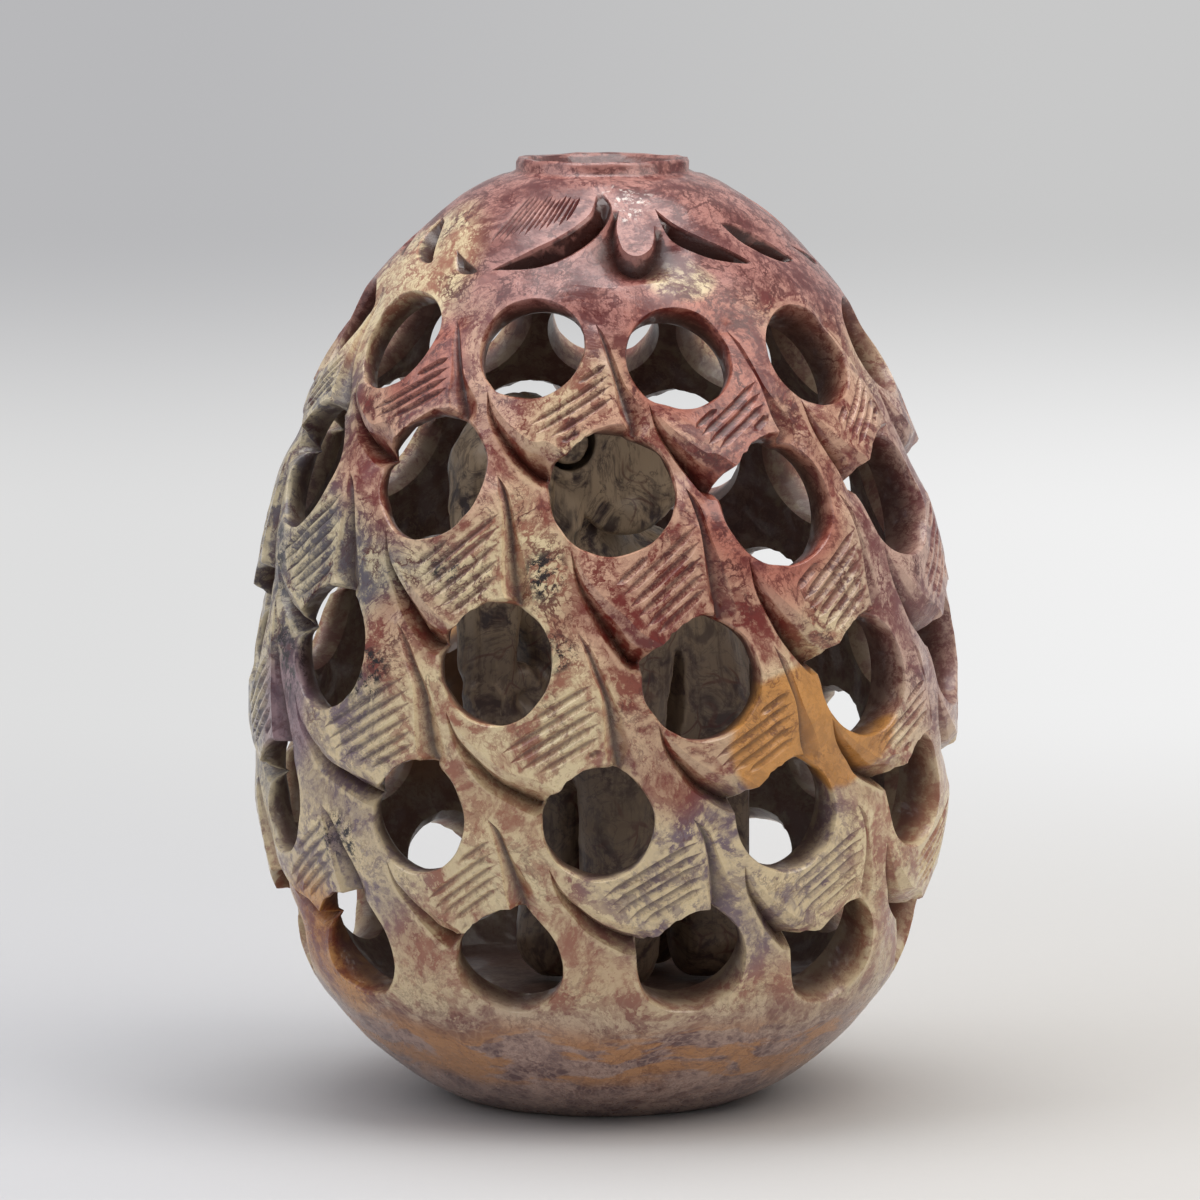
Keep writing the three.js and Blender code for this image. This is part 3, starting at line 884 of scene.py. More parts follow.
def skin_of_egg():
    """The whole egg, outside and in."""
    skin = Skin()
    holes = [Hole(row, column) for row in range(len(ROWS)) for column in range(COLUMNS)]
    sheet, foot, seat = outer_face(holes)
    faces, azimuth, arc, depth, grime, where, skin.creases = triangulate(sheet, holes)
    places = OUTER.place(azimuth, arc)
    depth = relax(faces, places, depth, load=SWELL)
    tool = bpy.context.scene.egg_carving.tool_marks / MM
    waves = uneven(places, tool, TOOL_SIZES[0], 1) + uneven(places, tool / 2, TOOL_SIZES[1], 2)
    outside = OUTER.place(azimuth, arc, np.minimum(depth - SKIN_INSET + waves, 0.0))
    skin.add(outside, relax(faces, places, grime), 0.0)
    skin.add_faces(faces)

    inner, openings, top, bottom = hollow_face(sheet, holes)
    faces, azimuth, arc, _, _, inner_where, creases = triangulate(inner, openings)
    places = HOLLOW.place(azimuth, arc)
    shift = -HOLLOW_SHIFT * np.sin(azimuth)
    rough = sum(uneven(places, *bumps) for bumps in HOLLOW_BUMPS) + shift
    at_rims = inner_where[[index for opening in openings for index in opening.rim]]
    rough[at_rims] = shift[at_rims]
    hollow = HOLLOW.place(azimuth, arc, rough)
    # The hollow is marked as inside, which paints it with shade
    ids = skin.add(hollow, HOLLOW_PAINTED_SHADE, 1.0)
    skin.add_faces(ids[0] + faces, flip=True)
    skin.creases += [(a + ids[0], b + ids[0]) for a, b in creases]

    for hole, opening in zip(holes, openings):
        start = outside[where[hole.rim]]
        end = hollow[inner_where[opening.rim]]
        outline = rim_share(hole.row > 0)
        ring = where[hole.rim]
        for share, overhang in WALL_RINGS:
            line = start + (end - start) * share
            radial = line - hole.centre
            radial -= np.outer(radial @ hole.axis, hole.axis)
            want = 1 + (outline - 1) * overhang
            now = outline + (INNER_RIM_SHARE - outline) * share
            place = line + radial * (want * BORE_SHARE / now - 1)[:, None]
            place += radial * uneven(place, *BORE_BUMPS)[:, None]
            # A bore's wall takes more painted shade the further in it lies
            fresh = skin.add(place, BORE_PAINTED_SHADE[0] + BORE_PAINTED_SHADE[1] * share, BORE_INSIDE + share)
            skin.band(ring, fresh)
            ring = fresh
        skin.band(ring, ids[inner_where[opening.rim]])

    close_rings(skin, where[foot], FOOT_RINGS, seed=5, flip=True)
    close_rings(skin, where[seat], COLLAR_RINGS, seed=6, flip=False)
    close_rings(skin, ids[inner_where[top]], HOLLOW_TOP_RINGS, seed=7, flip=True)
    close_rings(skin, ids[inner_where[bottom]], FLOOR_RINGS, seed=8, flip=False)
    return skin


# Rings, as radius and height, that close the foot, the hollow's floor and top and, over the collar and into
# its shallow recess, the egg's top
FOOT_RINGS = ((11.45, 0.03), (10.4, 0.0), (6.0, 0.05), (2.0, 0.05))
FLOOR_RINGS = ((12.0, FLOOR_HEIGHT - 0.1), (6.0, FLOOR_HEIGHT - 0.15))
HOLLOW_TOP_RINGS = ((1.2, HOLLOW_TOP + 0.2),)
COLLAR_LIP = COLLAR_TOP - 0.05
COLLAR_RINGS = (
    (COLLAR_RADIUS + 0.35, SEAT_HEIGHT + 0.06), (COLLAR_RADIUS - 0.1, SEAT_HEIGHT + 0.35),
    (COLLAR_RADIUS - 0.12, COLLAR_LIP - 0.3), (COLLAR_RADIUS - 0.3, COLLAR_LIP),
    (COLLAR_RADIUS - 0.95, COLLAR_LIP - 0.06), (COLLAR_RADIUS - 1.25, COLLAR_LIP - 0.75),
    (COLLAR_RADIUS - 1.7, COLLAR_LIP - 0.95), (3.6, COLLAR_LIP - 1.0), (1.6, COLLAR_LIP - 0.98))
# How far a ring strays inwards and in height, on the collar and elsewhere, with the size of the bumps and the
# step between their seeds
INWARD_STRAY = (0.28, 0.08)
INWARD_BUMPS = 2.6
HEIGHT_STRAY = (0.3, 0.09)
HEIGHT_BUMPS = 3.2
HEIGHT_SEED = 20
# From which height and radius the collar strays so, the radius of its recess, and the painted shade in it
STRAY_HEIGHT = SEAT_HEIGHT + 0.1
STRAY_RADIUS = 3
RECESS_RADIUS = COLLAR_RADIUS - 0.9
RECESS_PAINTED_SHADE = 0.75


def close_rings(skin, ring, shape, seed, flip):
    """Closes a round opening with smaller and smaller rings and a last point."""
    angle = round_turn(len(ring))
    for radius, height in shape:
        collar = height > SEAT_HEIGHT
        stray = INWARD_STRAY[0 if height > STRAY_HEIGHT and radius > STRAY_RADIUS else 1]
        place = np.stack([radius * np.sin(angle), -radius * np.cos(angle), np.full(len(ring), height)], -1)
        wobble = uneven(place, stray, INWARD_BUMPS, seed)
        place[:, :2] *= (1 - np.abs(wobble) / max(radius, 1))[:, None]
        lift = np.abs(uneven(place, HEIGHT_STRAY[0 if collar else 1], HEIGHT_BUMPS, seed + HEIGHT_SEED))
        place[:, 2] += -lift if height > COLLAR_TOP - 0.5 else lift * (height > 0.01) * 0.5
        # The collar's recess takes painted shade, and rings in the hollow take the hollow's painted shade
        fresh = skin.add(place, RECESS_PAINTED_SHADE * (radius < RECESS_RADIUS and collar),
                         FLOOR_HEIGHT - 1 < height < SEAT_HEIGHT - 1)
        skin.band(ring, fresh, flip)
        ring = fresh
    tip = skin.add(np.array([[0.0, 0.0, shape[-1][1]]]), 0.0, 0.0)
    skin.add_faces(np.stack([ring, np.roll(ring, -1), np.repeat(tip, len(ring))], -1), flip)


def mesh_object(name, skin, material):
    mesh = bpy.data.meshes.new(name)
    faces = [face.tolist() for block in skin.faces for face in block]
    mesh.from_pydata((np.vstack(skin.corners) * MM).tolist(), [], faces)
    mesh.validate()
    mesh.update()
    mesh.shade_smooth()
    creases = {tuple(sorted(pair)) for pair in skin.creases}
    ends = np.empty(len(mesh.edges) * 2, np.int32)
    mesh.edges.foreach_get("vertices", ends)
    ends = ends.reshape(-1, 2)
    sharp = [tuple(sorted(pair)) in creases for pair in ends.tolist()]
    mesh.attributes.new("sharp_edge", "BOOLEAN", "EDGE").data.foreach_set("value", sharp)
    marks = {key: np.concatenate(values) for key, values in skin.marks.items()}
    # Convexity paints highlights on the edges and shade in the grooves
    marks["edge_highlight_groove_shade"] = convexity(mesh, ends)
    for key, values in marks.items():
        mesh.attributes.new(key, "FLOAT", "POINT").data.foreach_set("value", values.astype(np.float32))
    mesh.materials.append(material)
    piece = bpy.data.objects.new(name, mesh)
    bpy.context.scene.collection.objects.link(piece)
    if not mesh.polygons:
        raise RuntimeError(f"{name} has no faces")
    return piece


def convexity(mesh, ends):
    """How far each corner stands proud of its neighbours: above 0 on edges, below 0 in grooves."""
    count = len(mesh.vertices)
    places, normals = np.empty((2, count * 3))
    mesh.vertices.foreach_get("co", places)
    mesh.vertices.foreach_get("normal", normals)
    places = places.reshape(-1, 3)
    normals = normals.reshape(-1, 3)
    a, b = ends.T
    direction = places[b] - places[a]
    direction /= np.linalg.norm(direction, axis=1)[:, None] + 1e-12
    proud_a = -(normals[a] * direction).sum(axis=1)
    proud_b = (normals[b] * direction).sum(axis=1)
    total = np.bincount(a, proud_a, count) + np.bincount(b, proud_b, count)
    near = np.bincount(a, None, count) + np.bincount(b, None, count)
    return total / np.maximum(near, 1)


# Elephant: its own frame faces -X with the feet at height 0, before it is turned and set on the hollow's floor
FIGURE_STEP = 0.32
FIGURE_LOW = (-17.5, -8.6, -1.0)
FIGURE_HIGH = (14.5, 8.6, 49.0)
FIGURE_HEIGHT = 48.0
HEAD_CENTRE = (-8.2, 0.0, 41.6)
EYE_PLACE = (-7.9, 5.0, 44.4)
EYE_RING = 1.95
EYE_LINE = 0.26
PUPIL = 0.3


def ball(place, centre, reach):
    """About the distance to an ellipsoid."""
    shift = place - np.array(centre, np.float32)
    near = np.sqrt(((shift / np.array(reach, np.float32)) ** 2).sum(-1))
    far = np.sqrt(((shift / np.array(reach, np.float32) ** 2) ** 2).sum(-1))
    return near * (near - 1) / np.maximum(far, 1e-6)


def limb(place, joints):
    """Distance to a limb through (x, y, z, radius) joints."""
    result = np.full(place.shape[:-1], 99.0, np.float32)
    for start, end in zip(joints[:-1], joints[1:]):
        start = np.array(start, np.float32)
        end = np.array(end, np.float32)
        along = end[:3] - start[:3]
        share = np.clip((place - start[:3]) @ along / (along @ along), 0, 1)
        gap = np.linalg.norm(place - start[:3] - share[..., None] * along, axis=-1)
        result = np.minimum(result, gap - start[3] - (end[3] - start[3]) * share)
    return result


def blend(a, b, reach):
    """Joins two masses with a fillet."""
    share = np.clip(0.5 + 0.5 * (b - a) / reach, 0, 1)
    return b + (a - b) * share - reach * share * (1 - share)


def cut(mass, tool, reach):
    return -blend(-mass, tool, reach)


TRUNK = ((-10.2, -0.3, 41.5, 3.7), (-12.2, -0.6, 37.6, 3.2), (-12.7, -1.0, 33.0, 2.8), (-13.2, -1.4, 27.0, 2.3))
TRUNK_CURL_CENTRE = (-11.1, -1.8, 24.0)
# The curl's turns and joints, the degrees where it starts, its distance from its middle and the trunk's radius,
# the share of these two that a turn takes away, and the drift aside in a turn
TRUNK_CURL_TURNS = 1.55
TRUNK_CURL_JOINTS = 14
TRUNK_CURL_START = 170
TRUNK_CURL_REACH = 2.45
TRUNK_CURL_RADIUS = 2.1
TRUNK_CURL_TIGHTENING = 0.48
TRUNK_CURL_TAPER = 0.42
TRUNK_CURL_DRIFT = 0.25


def trunk_curl():
    """Joints of the trunk's end, which rolls up towards the legs, tapers and drifts aside."""
    x, y, z = TRUNK_CURL_CENTRE
    turns = np.linspace(0, TRUNK_CURL_TURNS, TRUNK_CURL_JOINTS)
    reach = TRUNK_CURL_REACH * (1 - TRUNK_CURL_TIGHTENING * turns)
    angle = math.radians(TRUNK_CURL_START) + turns * 2 * math.pi
    return [(x + r * math.cos(a), y - TRUNK_CURL_DRIFT * t, z + r * math.sin(a),
             TRUNK_CURL_RADIUS * (1 - TRUNK_CURL_TAPER * t)) for t, r, a in zip(turns, reach, angle)]


def elephant_mass(place):
    """About the distance to the elephant's surface, below 0 inside it."""
    near = place * np.array([1, -1, 1], np.float32)
    mass = ball(place, (2.8, 0, 25.5), (10.0, 7.2, 11.4))
    mass = blend(mass, ball(place, (7.4, 0, 22), (5.8, 6.9, 10.5)), 2.0)
    mass = blend(mass, ball(place, (-2.6, 0, 27.5), (6.2, 7.0, 10.2)), 2.0)
    mass = blend(mass, ball(place, (-5.2, 0, 35), (5.8, 5.2, 8.0)), 2.5)
    for at in (place, near):
        front = limb(at, ((-1.8, 3.7, 24, 3.6), (-1.6, 3.8, 12, 3.1), (-1.6, 3.8, 3.0, 3.3)))
        hind = limb(at, ((7.4, 3.6, 22, 4.0), (8.3, 3.8, 12, 3.2), (7.9, 3.8, 3.0, 3.3)))
        mass = blend(mass, np.minimum(front, hind), 0.9)
        mass = cut(mass, ball(at, (2.0, 7.2, 16.5), (1.0, 3.4, 11.0)), 0.4)
    mass = np.maximum(mass, -place[..., 2])
    head = ball(place, HEAD_CENTRE, (6.2, 5.6, 6.2))
    for at in (place, near):
        head = blend(head, ball(at, (-7.6, 2.3, 44.4), (3.6, 2.7, 3.4)), 1.2)
        head = blend(head, ball(at, (-9.2, 3.4, 39.4), (3.0, 2.2, 3.4)), 1.0)
    head = blend(head, limb(place, TRUNK), 1.8)
    head = blend(head, limb(place, trunk_curl()), 0.35)
    mouth = limb(place, ((-9.8, -3, 35.6, 0.9), (-9.8, 3, 35.6, 0.9)))
    head = cut(head, mouth, 0.5)
    mass = blend(mass, head, 1.2)
    for at in (place, near):
        tusk = limb(at, ((-7.4, 4.7, 40.6, 1.15), (-7.9, 5.3, 37.6, 0.95), (-8.6, 5.5, 34.6, 0.55)))
        groove = limb(at, ((-9.2, 5.6, 41.4, 0.45), (-9.6, 5.8, 35.4, 0.4)))
        mass = cut(mass, groove, 0.3)
        mass = blend(mass, tusk, 0.25)
        # The ear is a thin plate with a raised edge, its rear edge turned out
        lean = at.copy()
        lean[..., 1] = at[..., 1] - 6.0 - 0.24 * (at[..., 0] + 4.4)
        ear = ball(lean, (-3.0, 0, 42.2), (5.0, 1.5, 5.4))
        dish = ball(lean, (-2.9, 1.7, 42.3), (3.9, 1.1, 4.3))
        under = limb(at, ((-7.4, 6.2, 37.0, 0.7), (-3.0, 7.0, 36.2, 0.9), (1.6, 8.0, 38.0, 0.7)))
        mass = cut(mass, under, 0.4)
        mass = blend(mass, cut(ear, dish, 0.4), 0.35)
        gap = np.linalg.norm(at - np.array(EYE_PLACE, np.float32), axis=-1)
        ring = np.where(np.abs(at[..., 1] - EYE_PLACE[1]) < 2.2, np.abs(gap - EYE_RING), 9.0) - EYE_LINE
        mass = cut(mass, ring, 0.1)
        mass = cut(mass, gap - PUPIL, 0.1)
    tail = limb(place, ((12.4, 0, 30, 1.0), (13.1, 0.3, 22, 0.8), (12.6, 0.5, 13, 1.0)))
    return blend(mass, tail, 0.6)


EAR_FOLD = ((-7.6, 6.2, 37.0, 0), (-3, 7, 36.3, 0), (1.8, 8, 38, 0))
# How far painted shade reaches from an eye's ring, from a pupil and from the fold under an ear
PAINTED_SHADE_REACH = (0.42, 0.45, 0.9)
# Chisel marks: how much deeper than the egg's tool marks, and sizes and first seeds of coarse and fine ones
FIGURE_ROUGHNESS = 2.2
CHISEL_SIZES = (2.4, 0.8)
CHISEL_SEEDS = (11, 15)


def skin_of_elephant():
    """The elephant, turned and set down in the hollow."""
    axes = [np.arange(low, high, FIGURE_STEP, dtype=np.float32) for low, high in zip(FIGURE_LOW, FIGURE_HIGH)]
    grid = openvdb.FloatGrid(9.0)
    grid.copyFromArray(elephant_mass(np.stack(np.meshgrid(*axes, indexing="ij"), -1)))
    points, quads = grid.convertToQuads(isovalue=0.0)
    corners = points.astype(np.float64) * FIGURE_STEP + np.array(FIGURE_LOW)
    a, b, c = (corners[quads[:, k]] for k in (0, 1, 2))
    inside_out = (np.cross(b - a, c - a) * a).sum() < 0
    # Painted shade lies in the eyes' rings and pupils and under the ears
    grime = np.zeros(len(corners))
    for side in (-1, 1):
        gap = np.linalg.norm(corners - np.array(EYE_PLACE) * (1, side, 1), axis=1)
        fold = limb(corners * (1, side, 1), EAR_FOLD)
        for distance, reach in zip((gap - EYE_RING, gap, fold), PAINTED_SHADE_REACH):
            grime = np.maximum(grime, np.exp(-(distance / reach) ** 2))
    # Chisel marks leave the surface a little uneven
    rough = FIGURE_ROUGHNESS * bpy.context.scene.egg_carving.tool_marks / MM
    coarse, fine = zip(CHISEL_SIZES, CHISEL_SEEDS)
    corners += np.stack([uneven(corners, rough, coarse[0], coarse[1] + k)
                         + uneven(corners, rough / 3, fine[0], fine[1] + k) for k in range(3)], -1)
    corners[:, 2] = np.maximum(corners[:, 2], 0)
    turn = bpy.context.scene.egg_carving.figure_turn
    low, high = cad_mm("inner_elephant")
    x, y, z = corners.T
    set_down = np.stack([x * math.cos(turn) - y * math.sin(turn), x * math.sin(turn) + y * math.cos(turn),
                         z * (high[2] - low[2]) / FIGURE_HEIGHT + low[2]], -1)
    skin = Skin()
    skin.add(np.clip(set_down, low, high), grime, 1.0)
    skin.add_faces(quads, flip=inside_out)
    return skin


def linear(code):
    """An sRGB hex colour as linear light."""
    values = [int(code[i:i + 2], 16) / 255 for i in (1, 3, 5)]
    return [v / 12.92 if v <= 0.04045 else ((v + 0.055) / 1.055) ** 2.4 for v in values] + [1.0]


def add_node(tree, kind, values=None, output=0):
    """Adds a node and gives one of its outputs. A value is keyed by a setting's name or an input's name or
    number, and is linked where it is an output."""
    node = tree.nodes.new("ShaderNode" + kind)
    for key, value in (values or {}).items():
        if isinstance(value, bpy.types.NodeSocket):
            tree.links.new(value, node.inputs[key])
        elif isinstance(key, str) and hasattr(node, key):
            setattr(node, key, value)
        else:
            node.inputs[key].default_value = value
    return node.outputs[output] if node.outputs else None


# Photograph's framing: a long lens from a little above the egg's middle
CAMERA_DISTANCE = 600.0
CAMERA_HEIGHT = 111.5
CAMERA_AIM = (-0.24, 0.0, 40.2)
FRAME_WIDTH = 96.8
SENSOR_WIDTH = 36.0


def make_camera():
    data = bpy.data.cameras.new("camera")
    camera = bpy.data.objects.new("camera", data)
    bpy.context.scene.collection.objects.link(camera)
    eye = Vector((0, -CAMERA_DISTANCE, CAMERA_HEIGHT))
    aim = Vector(CAMERA_AIM)
    camera.location = eye * MM
    camera.rotation_euler = (aim - eye).to_track_quat("-Z", "Y").to_euler()
    data.sensor_width = SENSOR_WIDTH
    data.lens = SENSOR_WIDTH * (aim - eye).length / FRAME_WIDTH
    data.clip_start = 0.01
    data.clip_end = 10
    bpy.context.scene.camera = camera


def per_mm(size):
    """Scale at which a texture's features are about size millimetres across."""
    return 1 / (size * MM)


def on_stone(azimuth, height):
    """A point on the egg's outline, in metres."""
    turn = math.radians(azimuth)
    radius = float(egg_radius(height))
    return (radius * math.sin(turn) * MM, -radius * math.cos(turn) * MM, height * MM)


# Colour clouds in the block: azimuth in degrees, height, reach and softness in mm, and the stones whose pale
# and whose dark tone each has
CLOUDS = (
    (-72, 42, 25, 9, "left", "left"), (76, 45, 20, 9, "right", "right"), (20, 24, 14, 5, "lower", "lower"),
    (-50, 26, 13, 5, "lower", "lower"), (14, 49, 15, 5, "red", "red"), (-35, 57, 12, 5, "red", "red"),
    (40, 58, 12, 5, "red", "red"), (180, 44, 19, 7, "red", "red"), (30, 50, 8, 3, "brick", "brick"),
    (22, 61.5, 8, 3, "brick", "brick"), (-40, 61, 5, 2, "brick", "brick"), (-33, 39.5, 6, 3, "rose", "rose"),
    (12, 32, 7, 3, "rose", "rose"), (-60, 67, 9, 3, "cream", "cream"), (-14, 45, 6, 2.5, "cream", "cream"),
    (-24, 33, 8, 4, "cream", "cream"), (-3, 53.5, 3.4, 2, "cream", "red"),
    (21, 67.5, 3.0, 1.2, "cream", "crown"), (25, 27, 2.6, 1.2, "plum", "plum"), (-63, 33, 6, 3, "plum", "plum"),
    (31.5, 32, 6.3, 0.7, "ochre", "ochre"), (44, 33, 5.2, 0.7, "ochre", "ochre"),
    (-150, 30, 10, 2.5, "ochre", "ochre"), (-60, 14, 8, 4, "ochre", "red"),
)
# Where black manganese specks lie: azimuth, height and reach
SPECKS = ((-9, 45.5, 2.6), (-20, 41, 1.8), (-8, 39.5, 2.2), (-27, 46, 2.0), (-72, 44, 4.5), (3, 26, 2.6),
          (-40, 37, 3), (-62, 37, 4), (-66, 27, 4), (-48, 24, 3), (130, 40, 5), (-140, 55, 4))
# Where pale crystals lie; the patch on the crown's bud is a painted highlight
CRYSTALS_AND_HIGHLIGHT = ((9, 73.2, 2.6), (-75, 30, 3), (100, 60, 3))

# The stones' pale and dark tones, with what they colour
STONES = {
    "cream": ("#dfcba2", "#9c6650", "cream stone"),
    "red": ("#cba086", "#70231b", "red stone"),
    "rose": ("#cbaa8a", "#7a3429", "rose stone"),
    "brick": ("#b4705e", "#651d18", "brick-red stone"),
    "crown": ("#ab756b", "#5e2422", "crown"),
    "left": ("#d3c3a0", "#5f585f", "left side"),
    "right": ("#c5a392", "#74403f", "right side"),
    "lower": ("#dcc79f", "#75626a", "lower rows"),
    "bowl": ("#b4978a", "#6c5352", "bowl"),
    "ochre": ("#cc9150", "#b17c42", "ochre patches"),
    "plum": ("#9c8084", "#5c434f", "plum patches"),
    "figure": ("#b59c7e", "#382422", "elephant"),
}
# All tones, with what they colour
TONES = {
    **{name + "_light": (pale, "pale part of the " + what) for name, (pale, _, what) in STONES.items()},
    **{name + "_dark": (dark, "dark part of the " + what) for name, (_, dark, what) in STONES.items()},
    "streak": ("#bb8657", "tan streaks round the bowl"),
    "vein": ("#55201b", "thin veins"),
    # Black specks; this tone also paints shade in the elephant's eyes and under its ears
    "speck": ("#1e1517", "black specks and painted shade"),
    # Pale crystals; on the crown's bud this tone is a painted highlight
    "crystal": ("#eadcd2", "pale crystals and a painted highlight"),
    # Painted shade in the cuts
    "grime": ("#34150e", "dark wax in the cuts"),
    # Painted shade in the hollow
    "inside": ("#3e241c", "painted shade in the hollow"),
    "figure_low": ("#4c3833", "trunk and legs of the elephant"),
    "figure_green": ("#7d6a55", "greenish part of the elephant"),
    # The paper's tones paint its light and shade: darker to the left and high up, brighter to the right
    "paper_left": ("#c4c4c6", "paper near the egg's foot, to the left"),
    "paper_right": ("#c9c7c4", "paper near the egg's foot, to the right"),
    "backdrop_left": ("#dfdfdf", "paper further off, to the left"),
    "backdrop_right": ("#f2f2f2", "paper further off, to the right"),
    "backdrop_high_left": ("#b8b8ba", "top of the backdrop, to the left"),
    "backdrop_high_right": ("#c8c8c8", "top of the backdrop, to the right"),
}


def mask(tree, *terms):
    """A product of masks. A term is a mask, or a level, where it begins and ends to count, and the most and the
    least that it then comes to, smoothly."""
    product = None
    for term in terms:
        if not isinstance(term, bpy.types.NodeSocket):
            level, low, high, most, least = (*term, 1.0, 0.0) if len(term) == 3 else (*term, 0.0)[:5]
            term = add_node(tree, "MapRange", {"interpolation_type": "SMOOTHSTEP", "clamp": True, 0: level,
                                               1: low, 2: high, 3: least, 4: most})
        if product:
            term = add_node(tree, "Math", {"operation": "MULTIPLY", 0: product, 1: term})
        product = term
    return product


def lay(tree, colour, *coats):
    """Lays coats over a colour. A coat is its colour and the terms of its mask, and a colour is an output or
    the name of a tone, which has the value that the user gives it."""
    for coat, *terms in coats:
        values = {"data_type": "RGBA", "clamp_factor": True, 0: mask(tree, *terms)}
        for key, value in ((6, colour), (7, coat)):
            if isinstance(value, str):
                value = (*getattr(bpy.context.scene.stone_tones, value), 1.0)
            values[key] = value
        colour = add_node(tree, "Mix", values, 2)
    return colour


def bent(tree, place, size, reach):
    """Coordinates pushed about by a noise of a size, by up to about reach millimetres."""
    wave = add_node(tree, "TexNoise", {"Vector": place, "Scale": per_mm(size), "Detail": 1.0}, "Color")
    wave = add_node(tree, "VectorMath", {"operation": "SUBTRACT", 0: wave, 1: (0.5, 0.5, 0.5)})
    wave = add_node(tree, "VectorMath", {"operation": "SCALE", 0: wave, "Scale": 4 * reach * MM})
    return add_node(tree, "VectorMath", {"operation": "ADD", 0: place, 1: wave})


def within(tree, place, point, reach, soft):
    """1 near a point, falling to 0 at a reach in millimetres."""
    gap = add_node(tree, "VectorMath", {"operation": "DISTANCE", 0: place, 1: point}, "Value")
    return mask(tree, (gap, reach * MM, (reach - soft) * MM))


def fine_lines(tree, place, size, width, most):
    """A mask along thin wandering lines: where a noise passes its middle."""
    level = add_node(tree, "TexNoise", {"Vector": place, "Scale": per_mm(size), "Detail": 10.0,
                                        "Roughness": 0.6})
    level = add_node(tree, "Math", {"operation": "SUBTRACT", 0: level, 1: 0.5})
    level = add_node(tree, "Math", {"operation": "ABSOLUTE", 0: level})
    return mask(tree, (level, width, width * 0.3, most))


def bare_material(name):
    """A material without nodes, its node tree and the place on the piece."""
    material = bpy.data.materials.new(name)
    material.use_nodes = True
    material.node_tree.nodes.clear()
    return material, material.node_tree, add_node(material.node_tree, "TexCoord", output="Object")


